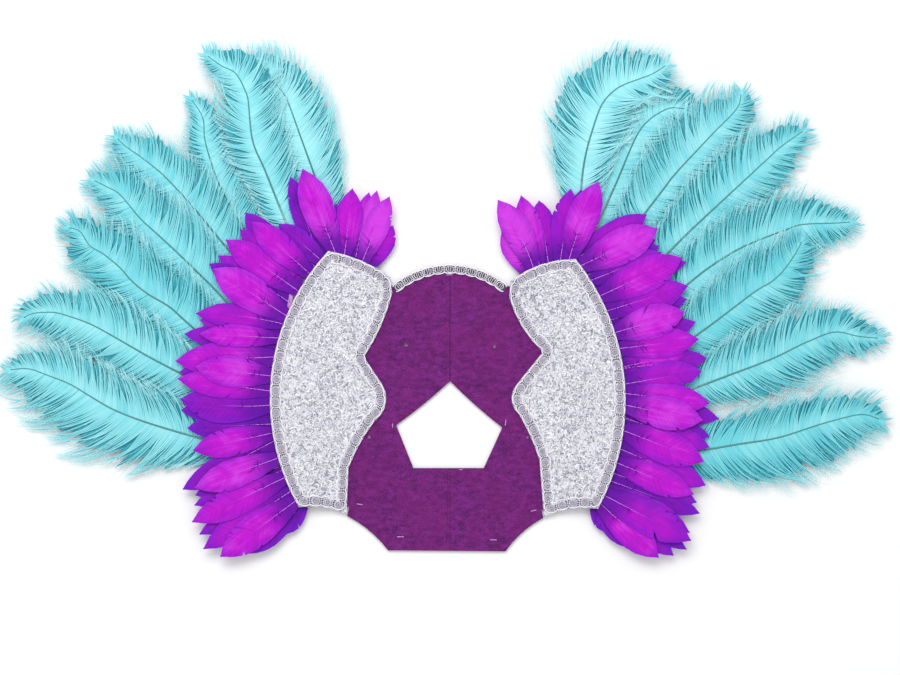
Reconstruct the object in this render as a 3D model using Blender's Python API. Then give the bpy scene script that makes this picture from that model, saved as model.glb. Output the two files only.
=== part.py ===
"""Carnival feather shoulder piece, modelled lying flat.

A stiff felt yoke with a five-sided neck opening carries two glitter panels edged
with scalloped braid. Ostrich plumes and two rows of goose feathers fan out from
under the outer edges of the panels.

Units are metres, +Z up. The origin is on the underside of the felt, on its centre
line, between the top arc and the neck opening.

Plan positions are read off a pattern grid: one grid step is GRID metres, x runs to
the wearer's left and y runs down the sheet. Heights and thicknesses are real sizes.
"""

from math import pi
from typing import NamedTuple

import bpy
import numpy as np
from mathutils import Vector
from mathutils.bvhtree import BVHTree
from mathutils.geometry import tessellate_polygon

# Pattern grid
GRID = 0.0011
GRID_CENTRE = (449.0, 322.0)

# Sheets
FELT_THICK = 0.003
FELT_UNDER_PANEL_INSET = 0.008
PANEL_THICK = 0.0016
CLEARANCE = 0.0003
TIE_HOLE_RADIUS = 0.0016
TIE_HOLE_SIDES = 8
CREASE_DEPTH = 0.0006
CREASE_WIDTH = 0.0014

# The panel's outer and top edges are raised to make room for the feather roots
PANEL_RAISE = 0.0062
RAISE_FULL_TO = 0.010
RAISE_ENDS_AT = 0.070
TOP_RAISE_ENDS_AT = 0.045
TOP_RAISE_CORNER_SHARE = 0.25

# Braid
BRAID_THICK = 0.0016
BRAID_SEAT = 0.0004
BRAID_CORNER = 0.0135
BRAID_STATIONS_PER_LOBE = 3
NECK_BRAID_OVERHANG = 0.0010

# Goose feathers: heights above the table at the panel's edge and far out
ROW_THICK = 0.0009
ROW_ROOT_Z = 0.0059
ROW_RISE = 0.0060
FEATHER_THICK = 0.0009
FEATHER_ROOT_Z = 0.0072
FEATHER_RISE = 0.0064
GOOSE_RISE_REACH = 0.100
GOOSE_ROOT_INSET = 0.008
TAPE_WIDTH = 0.006
LAYER_STEP = 0.0014
LAYER_OPENS_IN = 0.026

# Ostrich plumes
PLUME_THICK = 0.0011
PLUME_QUILL_RAISE = 0.0010
PLUME_MID_Z = 0.0040
PLUME_ARCH = 0.0075
PLUME_ARCH_STARTS = 0.045
PLUME_ARCH_REACH = 0.120
PLUME_TIP_DROP = 0.0030
PLUME_DROP_STARTS = 0.170
PLUME_DROP_REACH = 0.110
PLUME_TILT = 0.095
PLUME_LIFT_STARTS = 0.008
PLUME_LIFT_REACH = 0.055
LOCK_DEPTH = 0.14


class Corner(NamedTuple):
    """A corner of an outline, and how the stretch to the next corner bows.

    bow is the height of that arc in grid steps, to the left of its direction, and
    steps is the number of straight pieces that the arc is drawn with.
    """

    x: float
    y: float
    bow: float
    steps: int


class Feather(NamedTuple):
    """A goose feather: where its quill leaves the panel's edge, and its tip, in grid steps."""

    root_x: float
    root_y: float
    tip_x: float
    tip_y: float
    width: float
    bend: float
    layer: int


class Tooth(NamedTuple):
    """A feather of the under row, which is fused to the row's tape."""

    root_x: float
    root_y: float
    tip_x: float
    tip_y: float
    width: float


class Plume(NamedTuple):
    """An ostrich plume: its quill's route from root to tip, and its half widths in grid steps.

    tilt is 1 where the plume leans like a roof tile over the one above it, and 0
    where it lies level. lift raises it over both its neighbours, or lowers it under
    them, in metres.
    """

    route: tuple
    upper: float
    lower: float
    tilt: float
    lift: float


class Braid(NamedTuple):
    """A scalloped braid: its width at the lobes and between them, and the length of a lobe."""

    crest: float
    waist: float
    pitch: float


PANEL_BRAID = Braid(0.0122, 0.0094, 0.0128)
NECK_BRAID = Braid(0.0106, 0.0082, 0.0116)

# Each panel's inner side runs from the inner top corner to the inner bottom corner.
# The right panel is listed as its mirror image.
PANEL_SIDES = {
    "left": {
        "top": (Corner(328.4, 251.0, 4.0, 4), Corner(390.0, 277.0, 0, 0)),
        "inner": (
            Corner(390.0, 277.0, 0.5, 1),
            Corner(392.3, 293.0, 3.0, 4),
            Corner(364.0, 357.0, 0.0, 2),
            Corner(382.0, 384.0, 7.5, 5),
            Corner(374.8, 421.0, -2.0, 3),
            Corner(348.5, 468.0, 0.0, 3),
            Corner(346.5, 514.0, 0, 0),
        ),
        "bottom": (Corner(299.0, 507.0, 3.5, 4), Corner(346.5, 514.0, 0, 0)),
        "outer": (Corner(328.4, 251.0, -42.6, 18), Corner(299.0, 507.0, 0, 0)),
    },
    "right": {
        "top": (Corner(322.5, 259.0, 6.0, 4), Corner(387.5, 281.0, 0, 0)),
        "inner": (
            Corner(387.5, 281.0, 0.5, 1),
            Corner(388.8, 297.0, 4.6, 4),
            Corner(355.0, 352.0, 0.0, 2),
            Corner(381.0, 384.0, 6.5, 5),
            Corner(379.0, 414.4, -1.5, 3),
            Corner(358.5, 460.0, 0.0, 3),
            Corner(354.0, 517.0, 0, 0),
        ),
        "bottom": (Corner(300.0, 508.5, 4.0, 4), Corner(354.0, 517.0, 0, 0)),
        "outer": (Corner(322.5, 259.0, -38.0, 18), Corner(300.0, 508.5, 0, 0)),
    },
}

NECK_ARC = (Corner(507.5, 286.0, -21.0, 14), Corner(392.0, 286.0, 0, 0))
FELT_FRONT = (
    Corner(347.0, 516.0, 3.0, 5),
    Corner(388.0, 550.5, 0.0, 1),
    Corner(505.5, 551.5, 3.0, 5),
    Corner(543.5, 518.0, 0, 0),
)
NECK_OPENING = (
    Corner(450.0, 381.2, 1.2, 4),
    Corner(396.1, 425.2, 0.0, 1),
    Corner(413.4, 468.2, 0.0, 1),
    Corner(483.8, 468.2, 0.0, 1),
    Corner(502.3, 427.6, 1.2, 4),
    Corner(450.0, 381.2, 0, 0),
)
TIE_HOLES = ((406.0, 345.0), (494.4, 346.5), (369.0, 437.0), (527.5, 437.4))
CREASES = (((450.2, 262.0), (449.9, 382.0)), ((447.9, 467.5), (446.6, 552.5)))
NECK_BRAID_ENDS = (396.3, 506.0)

# From the neck side round to the front
GOOSE_FEATHERS = {
    "left": (
        Feather(362.5, 261.0, 389.5, 197.0, 24, 0, 3),
        Feather(344.5, 255.0, 352.5, 189.0, 27, 0, 2),
        Feather(334.5, 250.5, 303.0, 169.5, 33, 0, 3),
        Feather(322.0, 261.0, 279.0, 224.0, 22, 0, 2),
        Feather(309.0, 273.0, 252.0, 222.0, 27, 0, 3),
        Feather(297.0, 290.0, 226.5, 240.0, 29, 0, 2),
        Feather(284.5, 314.5, 213.5, 269.0, 33, 0, 3),
        Feather(282.0, 324.5, 196.5, 313.5, 22, -3, 2),
        Feather(278.5, 338.0, 199.8, 334.0, 22, 0, 3),
        Feather(274.0, 357.0, 176.3, 361.0, 33, 0, 2),
        Feather(271.5, 376.0, 196.0, 367.0, 31, 0, 4),
        Feather(270.5, 391.0, 178.2, 378.5, 25, 0, 3),
        Feather(270.5, 404.0, 181.0, 399.0, 30, 4, 2),
        Feather(272.5, 433.0, 193.7, 450.0, 27, 0, 2),
        Feather(278.0, 458.0, 195.8, 487.5, 30, 0, 4),
        Feather(287.0, 476.5, 192.8, 521.5, 30, 0, 3),
        Feather(291.0, 491.0, 204.0, 548.5, 27, 0, 2),
        Feather(294.0, 502.0, 221.0, 556.0, 33, 0, 3),
    ),
    "right": (
        Feather(532.0, 267.0, 498.0, 200.5, 28, -3.5, 3),
        Feather(539.0, 263.5, 521.0, 196.0, 25, 0, 2),
        Feather(560.5, 259.5, 570.5, 189.5, 28, 0, 2),
        Feather(570.0, 258.5, 598.0, 182.0, 31, 2, 3),
        Feather(582.5, 265.0, 657.0, 229.0, 36, 0, 3),
        Feather(592.0, 280.0, 661.0, 252.5, 26, 0, 2),
        Feather(600.0, 296.0, 681.5, 258.0, 34, 0, 3),
        Feather(607.0, 311.0, 687.0, 286.0, 32, 0, 2),
        Feather(615.5, 332.5, 684.0, 312.0, 34, 0, 3),
        Feather(619.5, 348.5, 698.0, 339.0, 28, 0, 2),
        Feather(624.5, 384.0, 701.0, 371.0, 30, 0, 2),
        Feather(625.0, 393.5, 709.0, 403.0, 28, 0, 3),
        Feather(624.7, 405.0, 702.0, 420.0, 32, 0, 4),
        Feather(622.0, 430.0, 703.0, 461.0, 33, 0, 3),
        Feather(615.0, 462.0, 693.0, 494.0, 27, 0, 3),
        Feather(605.5, 489.0, 689.0, 532.0, 27, 0, 2),
        Feather(603.0, 494.5, 690.0, 540.0, 33, 0, 3),
        Feather(600.0, 503.0, 658.0, 557.0, 30, 0, 2),
    ),
}

GOOSE_ROWS = {
    "left": (
        Tooth(370.0, 263.5, 393.0, 227.0, 20),
        Tooth(354.0, 257.0, 371.0, 193.0, 17),
        Tooth(340.0, 253.0, 336.0, 216.0, 13),
        Tooth(327.0, 254.0, 291.5, 178.0, 22),
        Tooth(309.0, 272.0, 250.0, 213.5, 15),
        Tooth(303.0, 281.0, 240.6, 230.0, 12),
        Tooth(292.0, 300.0, 219.5, 256.5, 12),
        Tooth(286.0, 313.0, 210.5, 264.0, 10),
        Tooth(281.0, 328.0, 201.0, 320.5, 14),
        Tooth(276.5, 345.0, 185.0, 334.0, 17),
        Tooth(272.0, 364.0, 180.0, 367.0, 19),
        Tooth(270.5, 389.0, 181.0, 387.5, 19),
        Tooth(270.5, 411.0, 181.4, 410.4, 20),
        Tooth(272.0, 430.0, 192.0, 441.0, 20),
        Tooth(275.0, 446.0, 184.0, 489.0, 18),
        Tooth(283.0, 469.0, 194.5, 501.0, 18),
        Tooth(299.0, 505.0, 283.0, 535.0, 18),
    ),
    "right": (
        Tooth(529.0, 268.5, 502.5, 233.0, 20),
        Tooth(549.0, 261.0, 540.0, 202.5, 22),
        Tooth(563.0, 258.8, 581.0, 191.0, 17),
        Tooth(580.0, 262.5, 646.0, 215.0, 22),
        Tooth(588.0, 274.0, 657.0, 243.0, 20),
        Tooth(599.0, 292.0, 686.0, 262.0, 18),
        Tooth(612.0, 322.0, 686.0, 300.0, 17),
        Tooth(618.0, 340.0, 695.0, 322.5, 18),
        Tooth(622.5, 362.0, 706.0, 358.5, 22),
        Tooth(625.0, 388.0, 684.0, 386.0, 17),
        Tooth(625.0, 406.0, 718.5, 418.5, 17),
        Tooth(624.0, 423.0, 708.5, 446.5, 19),
        Tooth(618.0, 449.0, 705.5, 485.0, 22),
        Tooth(609.5, 475.0, 699.0, 510.0, 22),
        Tooth(602.5, 496.0, 673.0, 554.0, 16),
        Tooth(597.0, 507.0, 629.0, 547.5, 15),
    ),
}

# From the neck side round to the front
OSTRICH_PLUMES = {
    "left": (
        Plume(((351, 276), (343, 254), (312, 168), (288, 102), (273, 81), (252, 56)), 50, 46, 0.25, 0),
        Plume(((315, 296), (307, 275), (279, 205), (253, 141), (247, 95), (205, 54)), 46, 36, 0, 0.0028),
        Plume(((305, 316), (295, 296), (255, 245), (222, 190), (205, 130), (190, 97)), 34, 28, 0.35, -0.0010),
        Plume(((298, 336), (284, 318), (226, 247), (175, 187), (140, 156), (112, 136)), 44, 44, 1, 0),
        Plume(((291, 371), (275, 354), (229, 305), (159, 235), (121, 195), (88, 178)), 46, 44, 1, 0),
        Plume(((287, 411), (270, 396), (190, 325), (132, 281), (96, 249), (64, 227)), 48, 48, 1, 0),
        Plume(((291, 432), (271, 421), (178, 372), (112, 335), (64, 314), (20, 320)), 44, 50, 1, 0),
        Plume(((303, 468), (280, 461), (199, 438), (112, 409), (49, 376), (3, 369)), 46, 64, 1, 0),
    ),
    "right": (
        Plume(((572.5, 271), (574, 259.5), (583, 169), (597, 117), (624, 85), (668, 62)), 56, 46, 0, 0.0032),
        Plume(((579, 280), (583, 264), (607, 204), (631, 148), (660, 112), (698, 112)), 46, 44, 0.2, -0.0010),
        Plume(((578.5, 300), (592.5, 281.5), (660, 193), (702, 144), (731, 116), (742, 92)), 46, 46, 1, 0),
        Plume(((593, 328), (609, 311.5), (667, 254), (727, 197), (770, 156), (806, 129)), 48, 46, 1, 0),
        Plume(((600.5, 353.5), (618.5, 339), (684, 287), (747, 245), (804, 224), (854, 221)), 46, 48, 1, 0),
        Plume(((606.5, 401.5), (625, 388), (697, 335), (754, 292), (789, 262), (801, 243)), 46, 50, 1, 0),
        Plume(((603, 419.7), (624.6, 412), (690, 390), (771, 359), (834, 332), (882, 338)), 44, 44, 1, 0),
        Plume(((592.5, 469.5), (615, 465.5), (708, 449), (799, 430), (855, 415), (883, 421)), 44, 56, 1, 0),
    ),
}

# Share of a feather's length, and share of its half width there
GOOSE_PROFILE = ((0.0, 0.10), (0.17, 0.22), (0.42, 0.90), (0.69, 1.0), (0.90, 0.60), (1.0, 0.07))
TOOTH_PROFILE = ((0.0, 0.30), (0.30, 0.80), (0.60, 1.0), (0.86, 0.72), (1.0, 0.08))
PLUME_PROFILE = (
    (0.0, 0.03), (0.11, 0.03), (0.19, 0.24), (0.27, 0.56), (0.36, 0.82), (0.47, 0.97),
    (0.59, 1.0), (0.71, 0.90), (0.83, 0.68), (0.93, 0.38), (1.0, 0.08),
)
PLUME_ACROSS = (-1.0, -0.5, 0.0, 0.5, 1.0)
BLADE_ACROSS = (-1.0, 0.0, 1.0)
TOOTH_ACROSS = (-1.0, 1.0)

COLOURS = {
    "felt": ((0.150, 0.017, 0.168), 0.95, 0.0),
    "glitter": ((0.74, 0.74, 0.80), 0.35, 0.6),
    "braid": ((0.86, 0.84, 0.90), 0.55, 0.1),
    "goose": ((0.46, 0.012, 0.60), 0.55, 0.0),
    "ostrich": ((0.20, 0.76, 0.80), 0.80, 0.0),
}


def plan(points):
    """Grid points as an array of metres, x to the right and y up."""
    points = np.asarray(points, dtype=float)
    return (points - GRID_CENTRE) * (GRID, -GRID)


def smooth_step(t):
    """0 up to t = 0, 1 from t = 1, and a smooth rise between."""
    t = np.clip(t, 0.0, 1.0)
    return t * t * (3.0 - 2.0 * t)


def arc(start, end, bow, steps):
    """Points on the arc from start towards end, without end, that bows to the left by bow."""
    chord = end - start
    t = np.arange(steps) / steps
    if abs(bow) < 1e-6:
        return start + t[:, None] * chord
    length = np.linalg.norm(chord)
    radius = (length * length / 4.0 + bow * bow) / (2.0 * bow)
    left = np.array((-chord[1], chord[0])) / length
    centre = start + chord / 2.0 + left * (bow - radius)
    half_turn = np.arcsin(np.clip(length / (2.0 * abs(radius)), -1.0, 1.0))
    from_centre = start - centre
    turn = -np.sign(bow) * 2.0 * half_turn * t
    cos, sin = np.cos(turn), np.sin(turn)
    x = cos * from_centre[0] - sin * from_centre[1]
    y = sin * from_centre[0] + cos * from_centre[1]
    return centre + np.stack((x, y), axis=1)


def outline(corners):
    """The outline through the corners, as points in metres, with its last corner."""
    points = plan([(c.x, c.y) for c in corners])
    stretches = [
        arc(points[i], points[i + 1], corners[i].bow * GRID, corners[i].steps)
        for i in range(len(corners) - 1)
    ]
    return np.concatenate(stretches + [points[-1:]])


def along(points):
    """The distance along a line of points, at each point."""
    steps = np.linalg.norm(np.diff(points, axis=0), axis=1)
    return np.concatenate(((0.0,), np.cumsum(steps)))


def resample(points, count):
    """The same line with count points an equal distance apart."""
    at = along(points)
    wanted = np.linspace(0.0, at[-1], count)
    return np.stack([np.interp(wanted, at, points[:, k]) for k in range(2)], axis=1)


def smooth_route(points, stations):
    """A Catmull-Rom curve through the points, at the given shares of its length."""
    points = np.asarray(points, dtype=float)
    ends = np.vstack((2 * points[0] - points[1], points, 2 * points[-1] - points[-2]))
    t = np.linspace(0.0, 1.0, 12, endpoint=False)[:, None]
    pieces = []
    for p0, p1, p2, p3 in zip(ends[:-3], ends[1:-2], ends[2:-1], ends[3:]):
        slope = 2 * p0 - 5 * p1 + 4 * p2 - p3
        bend = 3 * p1 - p0 - 3 * p2 + p3
        pieces.append(0.5 * (2 * p1 + (p2 - p0) * t + slope * t**2 + bend * t**3))
    curve = np.concatenate(pieces + [points[-1:]])
    at = along(curve)
    wanted = np.asarray(stations) * at[-1]
    return np.stack([np.interp(wanted, at, curve[:, k]) for k in range(2)], axis=1)


def left_of(line):
    """The unit vector to the left of a line, at each of its points."""
    heading = np.gradient(line, axis=0)
    heading /= np.linalg.norm(heading, axis=1)[:, None]
    return np.stack((-heading[:, 1], heading[:, 0]), axis=1)


def distance_to_line(points, line):
    """The distance of each point from the nearest place on a line of points."""
    start, run = line[:-1], np.diff(line, axis=0)
    offset = points[:, None, :] - start[None]
    share = (offset * run).sum(axis=2) / np.maximum((run * run).sum(axis=1), 1e-12)
    nearest = start + np.clip(share, 0.0, 1.0)[..., None] * run
    return np.linalg.norm(points[:, None, :] - nearest, axis=2).min(axis=1)


def is_inside(points, ring):
    """Whether each point is inside a closed ring, by counting the ring's crossings."""
    x, y = points[:, 0][:, None], points[:, 1][:, None]
    x0, y0 = ring[:, 0], ring[:, 1]
    x1, y1 = np.roll(x0, -1), np.roll(y0, -1)
    spans = (y0 > y) != (y1 > y)
    rise = np.where(y1 == y0, 1e-12, y1 - y0)
    crosses = spans & (x < (x1 - x0) * (y - y0) / rise + x0)
    return crosses.sum(axis=1) % 2 == 1


class Side:
    """One side of the piece: its panel's edges and the heights that follow from them."""

    def __init__(self, name):
        self.name = name
        self.mirror = np.array((-1.0 if name == "right" else 1.0, 1.0))
        sides = {k: outline(v) for k, v in PANEL_SIDES[name].items()}
        self.top, self.inner = sides["top"], sides["inner"]
        self.bottom, self.outer = sides["bottom"], sides["outer"]
        self.ring = self.mirrored(
            np.concatenate((self.outer[:-1], self.bottom[:-1], self.inner[::-1][:-1], self.top[::-1][:-1]))
        )
        if name == "right":
            self.ring = self.ring[::-1]

    def mirrored(self, points):
        """The points as they lie on this side of the centre line."""
        return points * self.mirror

    def out(self, points):
        """How far each point is outside the panel's edge, and less than zero inside it."""
        ring = np.vstack((self.ring, self.ring[:1]))
        distance = distance_to_line(points, ring)
        return np.where(is_inside(points, self.ring), -distance, distance)

    def row_z(self, points):
        """The underside of the under row of goose feathers."""
        return ROW_ROOT_Z + ROW_RISE * smooth_step(self.out(points) / GOOSE_RISE_REACH)

    def feather_z(self, points):
        """The underside of the lowest goose feathers of the top row."""
        return FEATHER_ROOT_Z + FEATHER_RISE * smooth_step(self.out(points) / GOOSE_RISE_REACH)

    def plume_z(self, points):
        """The middle of a level plume's vane: low at the panel, arched, and low at the tip."""
        out = self.out(points)
        arch = PLUME_ARCH * smooth_step((out - PLUME_ARCH_STARTS) / PLUME_ARCH_REACH)
        drop = PLUME_TIP_DROP * smooth_step((out - PLUME_DROP_STARTS) / PLUME_DROP_REACH)
        return PLUME_MID_Z + arch - drop


def grid_faces(rows, columns):
    """The four-sided faces of a grid of points that is stored row by row."""
    first = (np.arange(rows - 1)[:, None] * columns + np.arange(columns - 1)).ravel()
    return np.stack((first, first + 1, first + columns + 1, first + columns), axis=1).tolist()


def counter_clockwise(points, faces):
    """The faces, turned so that they all run counter-clockwise seen from above."""
    face = faces[0]
    corners = points[face]
    ahead = np.roll(corners, -1, axis=0)
    area = (corners[:, 0] * ahead[:, 1] - ahead[:, 0] * corners[:, 1]).sum()
    return faces if area > 0 else [f[::-1] for f in faces]


def closed_sheet(name, points, low, high, faces, colour):
    """A closed sheet between two heights over the same plan, as a new object.

    points are the plan positions, low and high the heights of its two faces there,
    and faces join the points. Edges with a face on one side only get a wall.
    """
    faces = counter_clockwise(points, faces)
    count = len(points)
    used = {(a, b) for f in faces for a, b in zip(f, f[1:] + f[:1])}
    rim = [(a, b) for a, b in used if (b, a) not in used]
    upper = [tuple(f) for f in faces]
    lower = [tuple(i + count for i in reversed(f)) for f in faces]
    walls = [(b, a, a + count, b + count) for a, b in sorted(rim)]
    top = np.column_stack((points, high))
    base = np.column_stack((points, low))
    mesh = bpy.data.meshes.new(name)
    mesh.from_pydata(np.vstack((top, base)).tolist(), [], upper + lower + walls)
    mesh.validate()
    mesh.shade_smooth()
    mesh.set_sharp_from_angle(angle=pi / 6)
    item = bpy.data.objects.new(name, mesh)
    bpy.context.scene.collection.objects.link(item)
    mesh.materials.append(material(colour))
    return item


def material(colour):
    """The Principled material of a kind of piece, made once."""
    found = bpy.data.materials.get(colour)
    if found:
        return found
    base, roughness, metallic = COLOURS[colour]
    made = bpy.data.materials.new(colour)
    made.use_nodes = True
    shader = made.node_tree.nodes["Principled BSDF"]
    shader.inputs["Base Color"].default_value = (*base, 1.0)
    shader.inputs["Roughness"].default_value = roughness
    shader.inputs["Metallic"].default_value = metallic
    made.diffuse_color = (*base, 1.0)
    return made


def inset_under_panel(side):
    """The felt's edge under a panel: the panel's bottom, outer and top edges, moved in."""
    edge = np.concatenate((side.bottom[::-1][:-1], side.outer[::-1][:-1], side.top))
    edge = side.mirrored(edge)
    sign = -1.0 if side.name == "right" else 1.0
    moved = edge - sign * left_of(edge) * FELT_UNDER_PANEL_INSET
    clear = distance_to_line(moved, edge) > FELT_UNDER_PANEL_INSET * 0.985
    return moved[clear]


def build_felt(sides):
    """The felt yoke, with its neck opening and tie holes cut through and its crease pressed in."""
    front, neck = outline(FELT_FRONT), outline(NECK_ARC)
    right = inset_under_panel(sides["right"])
    left = inset_under_panel(sides["left"])[::-1]
    ring = np.concatenate((front, right, neck, left))
    hole = outline(NECK_OPENING)[:-1]
    turns = np.arange(TIE_HOLE_SIDES) * 2.0 * pi / TIE_HOLE_SIDES
    circle = TIE_HOLE_RADIUS * np.stack((np.cos(turns), np.sin(turns)), axis=1)
    loops = [ring, hole] + [plan(centre) + circle for centre in TIE_HOLES]
    points = np.concatenate(loops)
    faces = [list(f) for f in tessellate_polygon([[Vector((*p, 0.0)) for p in loop] for loop in loops])]
    low = np.zeros(len(points))
    felt = closed_sheet("felt_yoke", points, low, low + FELT_THICK, faces, "felt")
    for number, ends in enumerate(CREASES, start=1):
        press_crease(felt, f"crease_{number}_cutter", plan(ends))
    return felt


def press_crease(felt, name, ends):
    """Cut a shallow V along the line between two plan points into the felt's top."""
    side = left_of(ends) * CREASE_WIDTH / 2.0
    lift = CREASE_DEPTH * 0.5
    wide = side * (CREASE_DEPTH + lift) / CREASE_DEPTH
    bottom, top = FELT_THICK - CREASE_DEPTH, FELT_THICK + lift
    sections = []
    for point, reach in zip(ends, wide):
        sections += [(*(point + reach), top), (*point, bottom), (*(point - reach), top)]
    faces = [(0, 1, 2), (5, 4, 3), (0, 3, 4, 1), (1, 4, 5, 2), (2, 5, 3, 0)]
    mesh = bpy.data.meshes.new(name)
    mesh.from_pydata([tuple(p) for p in sections], [], faces)
    mesh.validate()
    cutter = bpy.data.objects.new(name, mesh)
    bpy.context.scene.collection.objects.link(cutter)
    cutter.hide_render = True
    cutter.display_type = "WIRE"
    cut = felt.modifiers.new(name, "BOOLEAN")
    cut.operation = "DIFFERENCE"
    cut.solver = "EXACT"
    cut.object = cutter


def build_panel(side):
    """A glitter panel: a Coons patch between its four edges, raised along the feathers."""
    across, down = len(side.top), len(side.inner)
    inner, outer = side.inner[:, None], resample(side.outer, down)[:, None]
    top, bottom = side.top[None], side.bottom[None]
    u = np.linspace(0.0, 1.0, across)[None, :, None]
    v = np.linspace(0.0, 1.0, down)[:, None, None]
    corners = (1 - v) * ((1 - u) * top[:, :1] + u * top[:, -1:]) + v * (
        (1 - u) * bottom[:, :1] + u * bottom[:, -1:]
    )
    patch = (1 - u) * outer + u * inner + (1 - v) * top + v * bottom - corners
    width = np.linalg.norm(patch[:, :1] - patch[:, -1:], axis=2)
    points = side.mirrored(patch.reshape(-1, 2))
    from_outer = distance_to_line(points, side.mirrored(side.outer)).reshape(down, across)
    from_top = distance_to_line(points, side.mirrored(side.top)).reshape(down, across)
    ends_at = np.minimum(RAISE_ENDS_AT, 0.92 * width)
    by_outer = smooth_step((ends_at - from_outer) / (ends_at - RAISE_FULL_TO))
    by_top = smooth_step((TOP_RAISE_ENDS_AT - from_top) / (TOP_RAISE_ENDS_AT - RAISE_FULL_TO))
    by_top = by_top * smooth_step((1.0 - u[..., 0]) / TOP_RAISE_CORNER_SHARE)
    low = FELT_THICK + CLEARANCE + PANEL_RAISE * np.maximum(by_outer, by_top).ravel()
    return closed_sheet(
        f"glitter_panel_{side.name}", points, low, low + PANEL_THICK, grid_faces(down, across), "glitter"
    )


def scallops(path, braid, closed):
    """The two scalloped edges of a braid that follows a path.

    Each lobe has a narrow station at its waist and wide ones between.
    """
    length = along(path)[-1]
    lobes = round(length / braid.pitch)
    count = lobes * BRAID_STATIONS_PER_LOBE
    line = resample(path, count + 1)
    sideways = left_of(line)
    if closed:
        joined = left_of(np.vstack((line[-2], line, line[1])))
        sideways = joined[1:-1]
        line, sideways = line[:-1], sideways[:-1]
    at_waist = np.arange(len(line)) % BRAID_STATIONS_PER_LOBE == 0
    half = np.where(at_waist, braid.waist, braid.crest)[:, None] / 2.0
    return line + sideways * half, line - sideways * half


def rounded_ring(ring, inset, window):
    """A closed ring moved in by inset, with its corners rounded over a window of its length."""
    ring = np.vstack((ring, ring[:1]))
    count = 600
    line = resample(ring, count + 1)[:-1]
    before, after = np.roll(line, 1, axis=0), np.roll(line, -1, axis=0)
    heading = (after - before) / np.linalg.norm(after - before, axis=1)[:, None]
    moved = line + np.stack((-heading[:, 1], heading[:, 0]), axis=1) * inset
    keep = distance_to_line(moved, ring) > abs(inset) * 0.985
    moved = moved[keep]
    moved = resample(np.vstack((moved, moved[:1])), count + 1)[:-1]
    reach = max(1, round(count * window / along(ring)[-1] / 2.0))
    rounded = sum(np.roll(moved, k, axis=0) for k in range(-reach, reach + 1)) / (2 * reach + 1)
    return np.vstack((rounded, rounded[:1]))


def build_panel_braid(side, panel):
    """The braid sewn round a panel, its outer scallops on the panel's edge."""
    path = rounded_ring(side.ring, PANEL_BRAID.crest / 2.0 + CLEARANCE, BRAID_CORNER)
    left, right = scallops(path, PANEL_BRAID, closed=True)
    points = np.concatenate((left, right))
    count = len(left)
    faces = [[i, (i + 1) % count, (i + 1) % count + count, i + count] for i in range(count)]
    panel.data.calc_loop_triangles()
    triangles = [tuple(t.vertices) for t in panel.data.loop_triangles]
    tree = BVHTree.FromPolygons([v.co for v in panel.data.vertices], triangles)
    low = np.concatenate(braid_seat(tree, left, right)) + BRAID_SEAT
    return closed_sheet(f"braid_{side.name}", points, low, low + BRAID_THICK, faces, "braid")


def surface_z(tree, point):
    """The height of a panel's top over a plan point."""
    above = Vector((*point, 0.1))
    hit = tree.ray_cast(above, Vector((0.0, 0.0, -1.0)))[0]
    if hit is None:
        hit = tree.find_nearest(Vector((*point, FELT_THICK + PANEL_THICK)))[0]
    return hit.z


def braid_seat(tree, left, right):
    """Heights for the two edges of a braid that keep its flat faces clear of the panel.

    The edges start on the panel. A station is then raised by what the panel stands
    over the middle of the station, and over the halfway lines to its neighbours.
    """
    lines = np.stack((left, (left + right) / 2.0, right))
    halfway = (lines + np.roll(lines, -1, axis=1)) / 2.0
    panel_z = np.array([[surface_z(tree, p) for p in line] for line in lines])
    halfway_z = np.array([[surface_z(tree, p) for p in line] for line in halfway])
    edges = panel_z[::2]
    edges = edges + np.maximum(panel_z[1] - edges.mean(axis=0), 0.0)
    flat = (edges + np.roll(edges, -1, axis=1)) / 2.0
    flat = np.stack((flat[0], flat.mean(axis=0), flat[1]))
    over = np.maximum(halfway_z - flat, 0.0).max(axis=0)
    return edges + np.maximum(over, np.roll(over, 1))


def build_neck_braid():
    """The braid along the top arc of the felt, between the two panels."""
    centre_line = outline(NECK_ARC)[::-1]
    inward = left_of(centre_line) * (NECK_BRAID_OVERHANG - NECK_BRAID.crest / 2.0)
    path = resample(centre_line + inward, 200)
    ends = plan([(x, 0.0) for x in NECK_BRAID_ENDS])[:, 0]
    path = path[(path[:, 0] > ends[0]) & (path[:, 0] < ends[1])]
    left, right = scallops(path, NECK_BRAID, closed=False)
    points = np.stack((right, left), axis=1).reshape(-1, 2)
    low = np.full(len(points), FELT_THICK + CLEARANCE)
    return closed_sheet("braid_neck", points, low, low + BRAID_THICK, grid_faces(len(left), 2), "braid")


def blade(line, across, left_half, right_half):
    """The plan points of a blade over its quill line, row by row, with one row per station."""
    sideways = left_of(line)
    across = np.asarray(across)
    reach = np.where(across > 0, across * left_half[:, None], across * right_half[:, None])
    return (line[:, None] + sideways[:, None] * reach[..., None]).reshape(-1, 2), reach


def quill_line(feather, bend, stations):
    """A goose feather's quill, from its sewn root under the panel to its tip."""
    root, tip = plan((feather.root_x, feather.root_y)), plan((feather.tip_x, feather.tip_y))
    heading = (tip - root) / np.linalg.norm(tip - root)
    root = root - heading * GOOSE_ROOT_INSET
    stations = np.asarray(stations)
    straight = root + stations[:, None] * (tip - root)
    left = np.array((-heading[1], heading[0]))
    return straight + left * (4.0 * bend * GRID * stations * (1.0 - stations))[:, None]


def goose_blade(feather):
    """The plan points of a top-row goose feather, and each one's distance from the root."""
    stations, widths = np.array(GOOSE_PROFILE).T
    line = quill_line(feather, feather.bend, stations)
    half = widths * feather.width * GRID / 2.0
    points = blade(line, BLADE_ACROSS, half, half)[0]
    return points, np.repeat(along(line), len(BLADE_ACROSS))


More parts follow.
